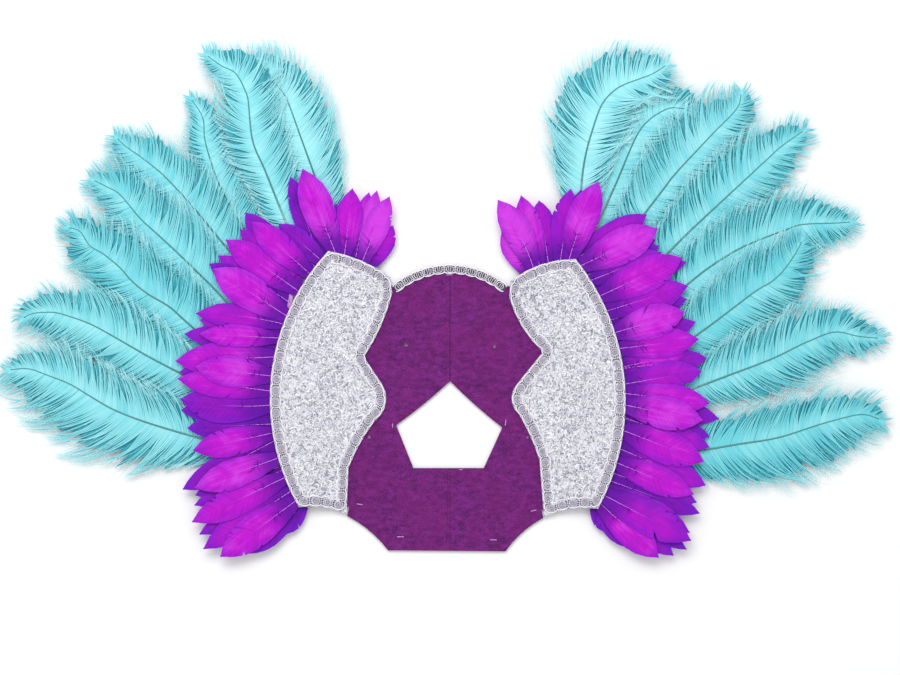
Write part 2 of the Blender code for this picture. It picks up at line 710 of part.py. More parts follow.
def lay_levels(feathers):
    """How many feathers deep each feather lies on those that its blade crosses.

    The feathers are laid from the lowest layer to the highest. Each one lies a
    level above the highest one under it, and where it crosses none it is on level 0.
    """
    rings = []
    for feather in feathers:
        points = goose_blade(feather)[0].reshape(len(GOOSE_PROFILE), -1, 2)
        rings.append(np.concatenate((points[1:, 0], points[:0:-1, -1])))
    levels = {}
    for i in sorted(range(len(feathers)), key=lambda n: feathers[n].layer):
        under = [levels[j] for j in levels if rings_cross(rings[i], rings[j])]
        levels[i] = max(under, default=-1) + 1
    return levels


def rings_cross(ring, other):
    """Whether two blades share any ground, tested along their edges and quills."""
    dense = resample(np.vstack((ring, ring[:1])), 120)
    other_dense = resample(np.vstack((other, other[:1])), 120)
    return bool(is_inside(dense, other).any() or is_inside(other_dense, ring).any())


def build_goose_feathers(side):
    """The single goose feathers of a side's top row."""
    feathers = GOOSE_FEATHERS[side.name]
    levels = lay_levels(feathers)
    for number, feather in enumerate(feathers, start=1):
        points, from_root = goose_blade(feather)
        opened = smooth_step(from_root / LAYER_OPENS_IN)
        low = side.feather_z(points) + levels[number - 1] * LAYER_STEP * opened
        faces = grid_faces(len(GOOSE_PROFILE), len(BLADE_ACROSS))
        name = f"goose_feather_{side.name}_{number:02d}"
        closed_sheet(name, points, low, low + FEATHER_THICK, faces, "goose")


def build_goose_row(side):
    """A side's under row: feathers as teeth on one tape, fused into one sheet."""
    stations, widths = np.array(TOOTH_PROFILE).T
    columns, rows = len(TOOTH_ACROSS), len(TOOTH_PROFILE)
    points, faces, tape_outer = [], [], []
    for tooth in GOOSE_ROWS[side.name]:
        line = quill_line(tooth, 0.0, stations)
        half = widths * tooth.width * GRID / 2.0
        start = len(points)
        points += blade(line, TOOTH_ACROSS, half, half)[0].tolist()
        faces += [[i + start for i in f] for f in grid_faces(rows, columns)]
        tape_outer += [start, start + 1] if side.name == "left" else [start + 1, start]
    inward = TAPE_WIDTH if side.name == "left" else -TAPE_WIDTH
    faces += tape_faces(points, tape_outer, inward)
    points = np.array(points)
    faces = [same_turn(points, f) for f in faces]
    low = side.row_z(points)
    closed_sheet(f"goose_row_{side.name}", points, low, low + ROW_THICK, faces, "goose")


def tape_faces(points, outer, inward):
    """Add the tape's inner edge to points, and join it to the roots of the teeth."""
    edge = np.array([points[i] for i in outer])
    sideways = left_of((edge[0::2] + edge[1::2]) / 2.0)
    start = len(points)
    points += (edge + np.repeat(sideways * inward, 2, axis=0)).tolist()
    inner = list(range(start, start + len(outer)))
    return [[outer[i], outer[i + 1], inner[i + 1], inner[i]] for i in range(len(outer) - 1)]


def same_turn(points, face):
    """A face, turned to run counter-clockwise seen from above."""
    return counter_clockwise(points, [face])[0]


def build_plumes(side):
    """A side's ostrich plumes: vanes with lock-like edges, fused to their quills."""
    stations, widths = np.array(PLUME_PROFILE).T
    locks = np.where(np.arange(len(stations)) % 2 == 1, 1.0, 1.0 - LOCK_DEPTH)
    tile_side = 1.0 if side.name == "right" else -1.0
    for number, plume in enumerate(OSTRICH_PLUMES[side.name], start=1):
        line = smooth_route(plan(plume.route), stations)
        left_half = widths * locks * (plume.upper if side.name == "right" else plume.lower) * GRID
        right_half = widths * locks * (plume.lower if side.name == "right" else plume.upper) * GRID
        points, reach = blade(line, PLUME_ACROSS, left_half, right_half)
        lean = PLUME_TILT * plume.tilt * tile_side * reach.ravel()
        lift = plume.lift * smooth_step((side.out(points) - PLUME_LIFT_STARTS) / PLUME_LIFT_REACH)
        middle = side.plume_z(points) + lean + lift
        quill = np.tile(np.asarray(PLUME_ACROSS) == 0.0, len(stations))
        high = middle + PLUME_THICK / 2.0 + PLUME_QUILL_RAISE * quill
        low = middle - PLUME_THICK / 2.0
        faces = grid_faces(len(stations), len(PLUME_ACROSS))
        closed_sheet(f"ostrich_plume_{side.name}_{number}", points, low, high, faces, "ostrich")


def clear_scene():
    """Remove whatever the file holds."""
    for item in list(bpy.data.objects):
        bpy.data.objects.remove(item, do_unlink=True)


def main():
    """Build every piece of the shoulder piece."""
    clear_scene()
    sides = {name: Side(name) for name in ("left", "right")}
    build_felt(sides)
    build_neck_braid()
    for side in sides.values():
        panel = build_panel(side)
        build_panel_braid(side, panel)
        build_goose_row(side)
        build_goose_feathers(side)
        build_plumes(side)


main()
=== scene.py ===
"""Looks of a carnival feather shoulder piece that lies flat on a pale table.

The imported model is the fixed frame. The felt and the two glitter panels keep their
meshes and get their cloth here. The braid, the goose feathers and the ostrich plumes
are drawn thread by thread and barb by barb in the places of their plain solids.

Units are metres, +Z up. Plan positions are read off the pattern grid of the model:
one grid step is GRID metres, x runs to the wearer's left and y runs down the sheet.
"""

import logging
from dataclasses import dataclass, field
from enum import Enum

import bpy
import numpy as np
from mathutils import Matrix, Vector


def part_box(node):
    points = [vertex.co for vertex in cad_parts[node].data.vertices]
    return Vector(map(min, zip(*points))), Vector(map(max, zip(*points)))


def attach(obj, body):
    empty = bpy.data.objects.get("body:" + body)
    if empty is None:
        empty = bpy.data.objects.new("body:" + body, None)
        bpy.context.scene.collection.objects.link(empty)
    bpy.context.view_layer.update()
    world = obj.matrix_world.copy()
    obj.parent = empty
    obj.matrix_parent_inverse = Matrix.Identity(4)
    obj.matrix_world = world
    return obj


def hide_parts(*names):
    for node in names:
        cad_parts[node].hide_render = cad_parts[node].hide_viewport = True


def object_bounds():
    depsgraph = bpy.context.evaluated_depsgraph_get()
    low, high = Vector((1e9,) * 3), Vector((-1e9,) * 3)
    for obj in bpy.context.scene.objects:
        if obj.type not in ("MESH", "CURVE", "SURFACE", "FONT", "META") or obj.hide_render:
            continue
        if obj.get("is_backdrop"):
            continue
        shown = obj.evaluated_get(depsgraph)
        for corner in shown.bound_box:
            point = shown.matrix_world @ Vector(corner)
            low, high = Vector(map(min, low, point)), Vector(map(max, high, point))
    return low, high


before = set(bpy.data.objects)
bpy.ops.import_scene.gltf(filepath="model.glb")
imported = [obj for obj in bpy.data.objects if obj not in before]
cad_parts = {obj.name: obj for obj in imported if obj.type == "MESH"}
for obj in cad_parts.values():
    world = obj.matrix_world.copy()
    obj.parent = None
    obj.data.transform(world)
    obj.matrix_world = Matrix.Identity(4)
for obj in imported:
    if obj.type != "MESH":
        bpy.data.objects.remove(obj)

LOG = logging.getLogger("shoulder_piece")

GRID = 0.0011
GRID_CENTRE = (449.0, 322.0)

# Heights of the model, in metres
FELT_THICK = 0.003
ROW_ROOT_Z = 0.0059
ROW_RISE = 0.0060
FEATHER_THICK = 0.0009
FEATHER_ROOT_Z = 0.0072
FEATHER_RISE = 0.0064
GOOSE_RISE_REACH = 0.100
LAYER_STEP = 0.0014
LAYER_OPENS_IN = 0.026
PLUME_MID_Z = 0.0040
PLUME_ARCH = 0.0075
PLUME_ARCH_STARTS = 0.045
PLUME_ARCH_REACH = 0.120
PLUME_TIP_DROP = 0.0030
PLUME_DROP_STARTS = 0.170
PLUME_DROP_REACH = 0.110
PLUME_TILT = 0.095
PLUME_LIFT_STARTS = 0.008
PLUME_LIFT_REACH = 0.055

# How far fine barbs may pass the model's box
PLUME_ROOM = 0.012


class Wing(Enum):
    """The two halves of the piece, as they lie in the plan."""

    LEFT = "left"
    RIGHT = "right"

    @property
    def mirror(self) -> float:
        """-1 for the right wing, whose panel is listed as its mirror image, and 1 for the left."""
        return -1.0 if self is Wing.RIGHT else 1.0


class Tone(Enum):
    """How light a goose feather is coloured: its place on the scale from dark to pale. Partly dye, partly painted
    shade: the feathers that lie under others mostly get the darker tones.
    """

    DARK = 0.10
    DEEP = 0.30
    MID = 0.50
    BRIGHT = 0.72
    GLOW = 0.86
    PALE = 1.00


# Plan geometry


def plan(points: object) -> np.ndarray:
    """Grid points as an array of metres: each less the grid's centre, times the step, with y turned up."""
    return (np.asarray(points, dtype=float) - GRID_CENTRE) * (GRID, -GRID)


def smooth_step(t: np.ndarray) -> np.ndarray:
    """0 up to t = 0, 1 from t = 1, and 3 t squared less 2 t cubed between."""
    t = np.clip(t, 0.0, 1.0)
    return t * t * (3.0 - 2.0 * t)


def along(points: np.ndarray) -> np.ndarray:
    """The distance along a line of points, at each point: the running sum of its steps."""
    steps = np.linalg.norm(np.diff(points, axis=0), axis=1)
    return np.concatenate(((0.0,), np.cumsum(steps)))


def sample(line: np.ndarray, shares: np.ndarray) -> np.ndarray:
    """Places on a line of points.

    Each coordinate is read off linearly at the wanted distance along the line.

    Args:
        line: points of the line, one a row.
        shares: shares of the line's length, from 0 to 1.

    Returns:
        One point for each share.
    """
    at = along(line)
    wanted = np.asarray(shares) * at[-1]
    return np.stack([np.interp(wanted, at, line[:, k]) for k in range(line.shape[1])], axis=-1)


def smooth_route(points: np.ndarray) -> np.ndarray:
    """A Catmull-Rom curve through the points, 12 steps to a stretch.

    On each stretch the curve is half of (2 p1 + (p2 - p0) t + (2 p0 - 5 p1 + 4 p2 - p3) t squared
    + (3 p1 - p0 - 3 p2 + p3) t cubed).
    """
    points = np.asarray(points, dtype=float)
    ends = np.vstack((2 * points[0] - points[1], points, 2 * points[-1] - points[-2]))
    t = np.linspace(0.0, 1.0, 12, endpoint=False)[None, :, None]
    p0, p1, p2, p3 = (ends[i : len(ends) - 3 + i, None] for i in range(4))
    slope, bend = 2 * p0 - 5 * p1 + 4 * p2 - p3, 3 * p1 - p0 - 3 * p2 + p3
    curve = 0.5 * (2 * p1 + (p2 - p0) * t + slope * t**2 + bend * t**3)
    return np.vstack((curve.reshape(-1, points.shape[1]), points[-1:]))


def unit(vectors: np.ndarray) -> np.ndarray:
    """The vectors, each divided by its length."""
    return vectors / np.maximum(np.linalg.norm(vectors, axis=-1, keepdims=True), 1e-12)


def left_of(line: np.ndarray) -> np.ndarray:
    """The unit vector to the left of a line at each point: its heading turned a quarter turn."""
    heading = unit(np.gradient(line, axis=0))
    return np.stack((-heading[:, 1], heading[:, 0]), axis=1)


def distance_to_line(points: np.ndarray, line: np.ndarray) -> np.ndarray:
    """The distance of each point from the nearest place on a line of points.

    Each point is dropped square onto every stretch, held between the stretch's ends,
    and the shortest of those distances is kept.
    """
    start, run = line[:-1], np.diff(line, axis=0)
    offset = points[:, None, :] - start[None]
    share = (offset * run).sum(axis=2) / np.maximum((run * run).sum(axis=1), 1e-12)
    nearest = start + np.clip(share, 0.0, 1.0)[..., None] * run
    return np.linalg.norm(points[:, None, :] - nearest, axis=2).min(axis=1)


def is_inside(points: np.ndarray, ring: np.ndarray) -> np.ndarray:
    """Whether each point is inside a closed ring: it is where a line to the side crosses the ring an odd number of times."""
    x, y = points[:, 0][:, None], points[:, 1][:, None]
    x0, y0 = ring[:, 0], ring[:, 1]
    x1, y1 = np.roll(x0, -1), np.roll(y0, -1)
    spans = (y0 > y) != (y1 > y)
    rise = np.where(y1 == y0, 1e-12, y1 - y0)
    return (spans & (x < (x1 - x0) * (y - y0) / rise + x0)).sum(axis=1) % 2 == 1


def profile_at(profile: tuple, shares: np.ndarray, window: int = 41) -> np.ndarray:
    """A profile's half width at shares of its length: linear between its rows, then averaged over a short window."""
    dense = np.linspace(0.0, 1.0, 401)
    at, value = np.array(profile).T
    padded = np.pad(np.interp(dense, at, value), window // 2, mode="edge")
    weight = np.hanning(window + 2)[1:-1]
    return np.interp(shares, dense, np.convolve(padded, weight / weight.sum(), mode="valid"))


def height_over(node: bpy.types.Object, points: np.ndarray) -> np.ndarray:
    """The height of a node's top over plan points.

    A point's place in each upward triangle is worked out from areas, and the highest
    triangle over it gives the height. A point off the node takes its nearest corner's.

    Args:
        node: the node, whose object sits at the origin.
        points: plan points, one a row.

    Returns:
        One height for each point.
    """
    mesh = node.data
    mesh.calc_loop_triangles()
    index = np.empty(len(mesh.loop_triangles) * 3, np.int32)
    mesh.loop_triangles.foreach_get("vertices", index)
    corners = np.empty(len(mesh.vertices) * 3, np.float32)
    mesh.vertices.foreach_get("co", corners)
    a, b, c = corners.reshape(-1, 3).astype(float)[index.reshape(-1, 3)].transpose(1, 0, 2)
    ab, ac = b - a, c - a
    area = ab[:, 0] * ac[:, 1] - ab[:, 1] * ac[:, 0]
    up = area > 1e-9
    a, ab, ac, area = a[up], ab[up], ac[up], area[up]
    off = points[:, None, :] - a[None, :, :2]
    u = (off[..., 0] * ac[:, 1] - off[..., 1] * ac[:, 0]) / area
    v = (ab[:, 0] * off[..., 1] - ab[:, 1] * off[..., 0]) / area
    inside = (u >= -1e-4) & (v >= -1e-4) & (u + v <= 1.0001)
    height = np.where(inside, a[:, 2] + u * ab[:, 2] + v * ac[:, 2], -1.0).max(axis=1)
    nearest = (off**2).sum(axis=2).argmin(axis=1)
    return np.where(height < 0.0, a[nearest, 2], height)


# Surfaces


@dataclass
class Surface:
    """Points, four-sided faces and the values that the finishes read, as whole arrays.

    tint holds four shares a point: along its blade, thread or barb, across it, a share
    that differs from one to the next, and one more that its finish explains.
    """

    points: np.ndarray
    faces: np.ndarray
    tint: np.ndarray
    uv: np.ndarray
    finish: int = 0


def grid_faces(count: int, rows: int, columns: int, ring: bool = False, turned: bool = False) -> np.ndarray:
    """The faces of many equal grids of points, stored grid by grid and row by row.

    Args:
        count: how many grids there are.
        rows: rows of points in each.
        columns: points in each row.
        ring: whether the last column joins the first.
        turned: whether the last row joins the first.

    Returns:
        Four corner numbers a face: the point, the next along, that one's neighbour, and its own.
    """
    r = np.arange(rows if turned else rows - 1)[:, None]
    c = np.arange(columns if ring else columns - 1)[None, :]
    r1, c1 = (r + 1) % rows, (c + 1) % columns
    grid = np.stack((r * columns + c, r1 * columns + c, r1 * columns + c1, r * columns + c1), axis=-1)
    first = (np.arange(count) * rows * columns)[:, None, None]
    return (grid.reshape(1, -1, 4) + first).reshape(-1, 4)


def tube(paths: np.ndarray, radii: np.ndarray, tint: np.ndarray, sides: int = 6, closed: bool = False,
         flat: float = 1.0, finish: int = 0) -> Surface:
    """Round threads along many paths of equal length.

    A ring of points goes round each path point: cosine of the turn times the radius to
    the left, and sine of it, times the radius and flat, upwards. Open ends are capped.

    Args:
        paths: centre lines, as (thread, row, 3).
        radii: a radius for each path point, as (thread, row).
        tint: the tint of each path point, as (thread, row, 4).
        sides: points round the thread, 4 or 6.
        closed: whether each path is a ring.
        flat: height as a share of width.
        finish: number of the material slot.

    Returns:
        The threads as one surface.
    """
    count, rows = paths.shape[:2]
    if closed:
        heading = np.roll(paths, -1, axis=1) - np.roll(paths, 1, axis=1)
    else:
        heading = np.gradient(paths, axis=1)
    heading = unit(heading)
    left = unit(np.stack((-heading[..., 1], heading[..., 0], np.zeros((count, rows))), axis=-1))
    up = np.cross(heading, left)
    turn = np.arange(sides) * 2.0 * np.pi / sides + np.pi / sides
    ring = np.cos(turn)[:, None] * left[:, :, None] + flat * np.sin(turn)[:, None] * up[:, :, None]
    points = paths[:, :, None] + ring * radii[..., None, None]
    faces = grid_faces(count, rows, sides, ring=True, turned=closed)[:, ::-1]
    if not closed:
        base = (np.arange(count) * rows * sides)[:, None]
        cap = np.array([[0, 1, 2, 3]] if sides == 4 else [[0, 1, 2, 5], [2, 3, 4, 5]])
        ends = base + (rows - 1) * sides + cap.reshape(-1)[None]
        starts = base + cap[:, ::-1].reshape(-1)[None]
        faces = np.concatenate((faces, starts.reshape(-1, 4), ends.reshape(-1, 4)))
    across = np.broadcast_to((turn / (2.0 * np.pi))[None, None, :, None], (count, rows, sides, 1))
    tints = np.repeat(tint[:, :, None], sides, axis=2)
    uv = np.concatenate((tints[..., :1], across), axis=-1)
    return Surface(points.reshape(-1, 3), faces, tints.reshape(-1, 4), uv.reshape(-1, 2), finish)


def ribbons(paths: np.ndarray, half: np.ndarray, tint: np.ndarray, ridge: float = 0.0, finish: int = 0) -> Surface:
    """Flat barbs along many paths of equal length, each with a low ridge where ridge is above 0.

    The edges lie half a width to the right and left of the path, and the middle, where
    there is one, ridge times that half width above it. Tint's second share is 1 on the
    middle and 0 on the edges.

    Args:
        paths: centre lines, as (barb, row, 3).
        half: half widths, as (barb, row).
        tint: the tint of each path point, as (barb, row, 4).
        ridge: height of the middle as a share of the half width.
        finish: number of the material slot.

    Returns:
        The barbs as one surface that faces up.
    """
    count, rows = paths.shape[:2]
    across = np.array((-1.0, 0.0, 1.0) if ridge > 0.0 else (-1.0, 1.0))
    heading = unit(np.gradient(paths[..., :2], axis=1))
    left = np.stack((-heading[..., 1], heading[..., 0]), axis=-1)
    points = np.repeat(paths[:, :, None], len(across), axis=2)
    points[..., :2] += left[:, :, None] * (half[..., None] * across)[..., None]
    points[..., 2] += ridge * half[..., None] * (1.0 - np.abs(across))
    tints = np.repeat(tint[:, :, None], len(across), axis=2)
    tints[..., 1] = 1.0 - np.abs(across) if ridge > 0.0 else 0.6
    uv = np.concatenate((tints[..., :1], np.broadcast_to(across[None, None, :, None], tints.shape[:3] + (1,))), axis=-1)
    faces = grid_faces(count, rows, len(across))
    return Surface(points.reshape(-1, 3), faces, tints.reshape(-1, 4), uv.reshape(-1, 2), finish)


def joined(surfaces: list[Surface]) -> Surface:
    """Several surfaces one after another, for a piece of one finish."""
    first = np.cumsum([0] + [len(s.points) for s in surfaces[:-1]])
    return Surface(
        np.concatenate([s.points for s in surfaces]),
        np.concatenate([s.faces + n for s, n in zip(surfaces, first)]),
        np.concatenate([s.tint for s in surfaces]),
        np.concatenate([s.uv for s in surfaces]),
        surfaces[0].finish,
    )


def make_piece(name: str, surfaces: list[Surface], materials: list[bpy.types.Material],
               replaces: tuple = ()) -> bpy.types.Object:
    """A new piece of the part from its surfaces, riding on the part's one body.

    Args:
        name: the piece's plain name.
        surfaces: what it is made of, each with its slot number.
        materials: the slots' materials, in order.
        replaces: the nodes that it stands for.

    Returns:
        The piece, with its place in its mesh.
    """
    whole = joined(surfaces)
    mesh = bpy.data.meshes.new(name)
    mesh.vertices.add(len(whole.points))
    mesh.vertices.foreach_set("co", whole.points.astype(np.float32).ravel())
    mesh.loops.add(whole.faces.size)
    mesh.loops.foreach_set("vertex_index", whole.faces.astype(np.int32).ravel())
    mesh.polygons.add(len(whole.faces))
    mesh.polygons.foreach_set("loop_start", np.arange(0, whole.faces.size, 4, dtype=np.int32))
    finishes = np.concatenate([np.full(len(s.faces), s.finish, np.int32) for s in surfaces])
    mesh.polygons.foreach_set("material_index", finishes)
    mesh.polygons.foreach_set("use_smooth", np.ones(len(whole.faces), bool))
    mesh.update(calc_edges=True)
    tint = mesh.attributes.new("tint", "FLOAT_COLOR", "POINT")
    tint.data.foreach_set("color", whole.tint.astype(np.float32).ravel())
    uv = mesh.uv_layers.new(name="blade")
    uv.data.foreach_set("uv", whole.uv[whole.faces.ravel()].astype(np.float32).ravel())
    for material in materials:
        mesh.materials.append(material)
    piece = bpy.data.objects.new(name, mesh)
    bpy.context.scene.collection.objects.link(piece)
    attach(piece, "root")
    if replaces:
        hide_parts(*replaces)
    LOG.info("%s: %d points, %d faces", name, len(whole.points), len(whole.faces))
    return piece


# Finishes


def srgb(red: float, green: float, blue: float) -> tuple:
    """A colour of 0 to 255 as linear values: a share to the power of 2.4 after the toe, with opacity 1."""
    share = np.array((red, green, blue)) / 255.0
    linear = np.where(share <= 0.04045, share / 12.92, ((share + 0.055) / 1.055) ** 2.4)
    return (*[float(x) for x in linear], 1.0)


class Wiring:
    """A short hand for placing and joining the nodes of one tree."""

    def __init__(self, tree: bpy.types.NodeTree) -> None:
        """Keep the tree."""
        self.tree = tree

    def node(self, kind: str, **settings: object) -> bpy.types.Node:
        """A new node of a kind, with its settings."""
        made = self.tree.nodes.new(kind)
        for key, value in settings.items():
            setattr(made, key, value)
        return made

    def put(self, socket: bpy.types.NodeSocket, value: object) -> None:
        """Join value to the socket where it is a socket, and set it where it is a number or colour."""
        if isinstance(value, bpy.types.NodeSocket):
            self.tree.links.new(value, socket)
        else:
            socket.default_value = value

    def math(self, operation: str, a: object, b: object = 0.0, clamp: bool = False) -> bpy.types.NodeSocket:
        """The result of a sum on two numbers."""
        made = self.node("ShaderNodeMath", operation=operation, use_clamp=clamp)
        self.put(made.inputs[0], a)
        self.put(made.inputs[1], b)
        return made.outputs[0]

    def mix(self, share: object, a: object, b: object, blend: str = "MIX") -> bpy.types.NodeSocket:
        """Colour a where share is 0 and colour b where it is 1."""
        made = self.node("ShaderNodeMix", data_type="RGBA", blend_type=blend)
        self.put(made.inputs[0], share)
        self.put(made.inputs[6], a)
        self.put(made.inputs[7], b)
        return made.outputs[2]

    def span(self, value: object, low: float, high: float, out_low: float = 0.0,
             out_high: float = 1.0) -> bpy.types.NodeSocket:
        """Value carried smoothly from low..high to out_low..out_high, and held beyond."""
        made = self.node("ShaderNodeMapRange", interpolation_type="SMOOTHSTEP")
        for number, put in enumerate((value, low, high, out_low, out_high)):
            self.put(made.inputs[number], put)
        return made.outputs[0]

    def ramp(self, value: object, stops: tuple) -> bpy.types.NodeSocket:
        """The colour at value along stops, which are pairs of a place and a colour."""
        made = self.node("ShaderNodeValToRGB")
        elements = made.color_ramp.elements
        while len(elements) < len(stops):
            elements.new(0.5)
        for element, (place, colour) in zip(elements, stops):
            element.position = place
            element.color = colour
        self.put(made.inputs[0], value)
        return made.outputs[0]

    def noise(self, vector: object, scale: float, detail: float = 2.0, rough: float = 0.5,
              turbulence: float = 0.0) -> bpy.types.NodeSocket:
        """Soft random values of about 0.3 to 0.7 over a vector."""
        made = self.node("ShaderNodeTexNoise")
        self.put(made.inputs["Vector"], vector)
        self.put(made.inputs["Scale"], scale)
        self.put(made.inputs["Detail"], detail)
        self.put(made.inputs["Roughness"], rough)
        self.put(made.inputs["Distortion"], turbulence)
        return made.outputs[0]

    def stretched(self, vector: object, scale: tuple) -> bpy.types.NodeSocket:
        """A vector with each of its three numbers multiplied."""
        made = self.node("ShaderNodeMapping")
        self.put(made.inputs["Vector"], vector)
        made.inputs["Scale"].default_value = scale
        return made.outputs[0]

    def place(self) -> bpy.types.NodeSocket:
        """The point's place on the piece, in metres."""
        return self.node("ShaderNodeTexCoord").outputs["Object"]

    def blade(self) -> bpy.types.NodeSocket:
        """The point's place on its blade or thread."""
        return self.node("ShaderNodeUVMap", uv_map="blade").outputs[0]

    def tint(self) -> tuple:
        """The four tint shares of the point."""
        made = self.node("ShaderNodeAttribute", attribute_name="tint")
        parts = self.node("ShaderNodeSeparateColor")
        self.put(parts.inputs[0], made.outputs["Color"])
        return (*parts.outputs, made.outputs["Alpha"])

    def group(self, tree: bpy.types.NodeTree, **values: object) -> bpy.types.Node:
        """A shared effect, placed here with its own values."""
        made = self.node("ShaderNodeGroup", node_tree=tree)
        for key, value in values.items():
            self.put(made.inputs[key.replace("_", " ")], value)
        return made

    def bump(self, height: object, distance: float, strength: float = 1.0) -> bpy.types.NodeSocket:
        """The normal of a surface that is raised by height times distance."""
        made = self.node("ShaderNodeBump")
        made.inputs["Strength"].default_value = strength
        made.inputs["Distance"].default_value = distance
        self.put(made.inputs["Height"], height)
        return made.outputs[0]


def new_group(name: str, inputs: tuple, outputs: tuple) -> tuple[bpy.types.NodeTree, Wiring, list, list]:
    """An empty shared effect.

    Args:
        name: the group's name.
        inputs: rows of a socket's name, kind and starting value.
        outputs: rows of a socket's name and kind.

    Returns:
        The tree, its wiring, the sockets to read from and the sockets to put into.
    """
    tree = bpy.data.node_groups.new(name, "ShaderNodeTree")
    for label, kind, value in inputs:
        made = tree.interface.new_socket(label, in_out="INPUT", socket_type=kind)
        if value is not None:
            made.default_value = value
    for label, kind in outputs:
        tree.interface.new_socket(label, in_out="OUTPUT", socket_type=kind)
    wiring = Wiring(tree)
    source = wiring.node("NodeGroupInput")
    sink = wiring.node("NodeGroupOutput")
    return tree, wiring, list(source.outputs), list(sink.inputs)


def grain_group() -> bpy.types.NodeTree:
    """Fine grain: the product of a coarse and a fine soft noise, carried to a value of 0 to 1 and a height."""
    found = bpy.data.node_groups.get("Fine grain")
    if found:
        return found
    tree, w, read, put = new_group(
        "Fine grain",
        (("Vector", "NodeSocketVector", None), ("Scale", "NodeSocketFloat", 600.0), ("Contrast", "NodeSocketFloat", 1.0)),
        (("Value", "NodeSocketFloat"), ("Height", "NodeSocketFloat")),
    )
    fine = w.noise(read[0], read[1], 4.0, 0.65)
    coarse = w.noise(read[0], w.math("MULTIPLY", read[1], 0.22), 2.0, 0.5)
    both = w.math("ADD", w.math("MULTIPLY", fine, 0.65), w.math("MULTIPLY", coarse, 0.35))
    spread = w.math("MULTIPLY", w.math("SUBTRACT", both, 0.5), w.math("MULTIPLY", read[2], 3.2))
    w.put(put[0], w.math("ADD", spread, 0.5, clamp=True))
    w.put(put[1], fine)
    return tree


def barb_group() -> bpy.types.NodeTree:
    """Barb lines: noise that is stretched along each barb, so that it reads as fine lines side by side."""
    found = bpy.data.node_groups.get("Barb lines")
    if found:
        return found
    tree, w, read, put = new_group(
        "Barb lines",
        (("Along", "NodeSocketFloat", 0.0), ("Across", "NodeSocketFloat", 0.0), ("Each", "NodeSocketFloat", 0.0),
         ("Lines", "NodeSocketFloat", 90.0), ("Stretch", "NodeSocketFloat", 1.2)),
        (("Value", "NodeSocketFloat"), ("Height", "NodeSocketFloat")),
    )
    joiner = w.node("ShaderNodeCombineXYZ")
    w.put(joiner.inputs[0], w.math("MULTIPLY", read[0], read[3]))
    w.put(joiner.inputs[1], w.math("MULTIPLY", read[1], read[4]))
    w.put(joiner.inputs[2], w.math("MULTIPLY", read[2], 37.0))
    lines = w.noise(joiner.outputs[0], 1.0, 3.0, 0.6)
    w.put(put[0], w.span(lines, 0.34, 0.66))
    w.put(put[1], lines)
    return tree


class Finish:
    """A finish of the part: its name and a material made once, with its shader ready to wire."""

    label = "finish"

    def material(self) -> bpy.types.Material:
        """The finish's material, made at its first use."""
        found = bpy.data.materials.get(self.label)
        if found:
            return found
        made = bpy.data.materials.new(self.label)
        made.use_nodes = True
        wiring = Wiring(made.node_tree)
        self.wire(wiring, made.node_tree.nodes["Principled BSDF"])
        return made

    def wire(self, w: Wiring, shader: bpy.types.Node) -> None:
        """Join the finish's nodes to the shader."""
        raise NotImplementedError


@dataclass(frozen=True)
class FeltFinish(Finish):
    """Pressed wool felt: mottled purple, a fine fibre grain and stray light fibres, with painted shade along the crease
    and on the cut edges that face sideways.
    """

    dark: tuple = srgb(74, 16, 82)
    light: tuple = srgb(128, 40, 134)
    warm: tuple = srgb(122, 26, 108)
    fibre: tuple = srgb(176, 104, 180)
    # cut: the painted shade of the crease and of the sideways cut edges, not a colour of the felt
    cut: tuple = srgb(62, 14, 66)
    roughness: float = 0.94
    specular: float = 0.2
    sheen: float = 0.12
    # Where the crease's band of painted shade lies and how far it reaches to each side
    crease_x: float = 0.0011
    crease_half: float = 0.0011
    label = "purple felt"

    def wire(self, w: Wiring, shader: bpy.types.Node) -> None:
        """Mix dark and light by the grain, lay fibres over them, and paint shade along the crease and on the
        sideways-facing cut edges.
        """
        place = w.place()
        slant = w.node("ShaderNodeMapping")
        w.put(slant.inputs["Vector"], place)
        slant.inputs["Rotation"].default_value = (0.0, 0.0, 0.7)
        slant.inputs["Scale"].default_value = (1.0, 1.7, 1.0)
        grain = w.group(grain_group(), Vector=slant.outputs[0], Scale=620.0, Contrast=1.5)
        cloud = w.span(w.noise(place, 26.0, 3.0, 0.6), 0.36, 0.64)
        colour = w.mix(grain.outputs["Value"], self.dark, self.light)
        colour = w.mix(w.math("MULTIPLY", cloud, 0.34), colour, self.warm)
        streak = w.noise(w.stretched(place, (420.0, 1500.0, 1.0)), 1.0, 3.0, 0.7, 0.6)
        colour = w.mix(w.span(streak, 0.63, 0.74, 0.0, 0.55), colour, self.fibre)
        x = w.node("ShaderNodeSeparateXYZ")
        w.put(x.inputs[0], place)
        # Painted shade: a dark band along the crease
        off = w.math("ABSOLUTE", w.math("SUBTRACT", x.outputs[0], self.crease_x))
        colour = w.mix(w.span(off, 0.0, self.crease_half, 0.42, 0.0), colour, self.cut)
        # Painted shade: the cut edges, which turn away from straight up, get the dark colour
        up = w.node("ShaderNodeSeparateXYZ")
        w.put(up.inputs[0], w.node("ShaderNodeNewGeometry").outputs["Normal"])
        w.put(shader.inputs["Base Color"], w.mix(w.span(up.outputs[2], 0.35, 0.85, 1.0, 0.0), colour, self.cut))
        w.put(shader.inputs["Normal"], w.bump(grain.outputs["Height"], 0.0007, 0.9))
        shader.inputs["Roughness"].default_value = self.roughness
        shader.inputs["Specular IOR Level"].default_value = self.specular
        shader.inputs["Sheen Weight"].default_value = self.sheen


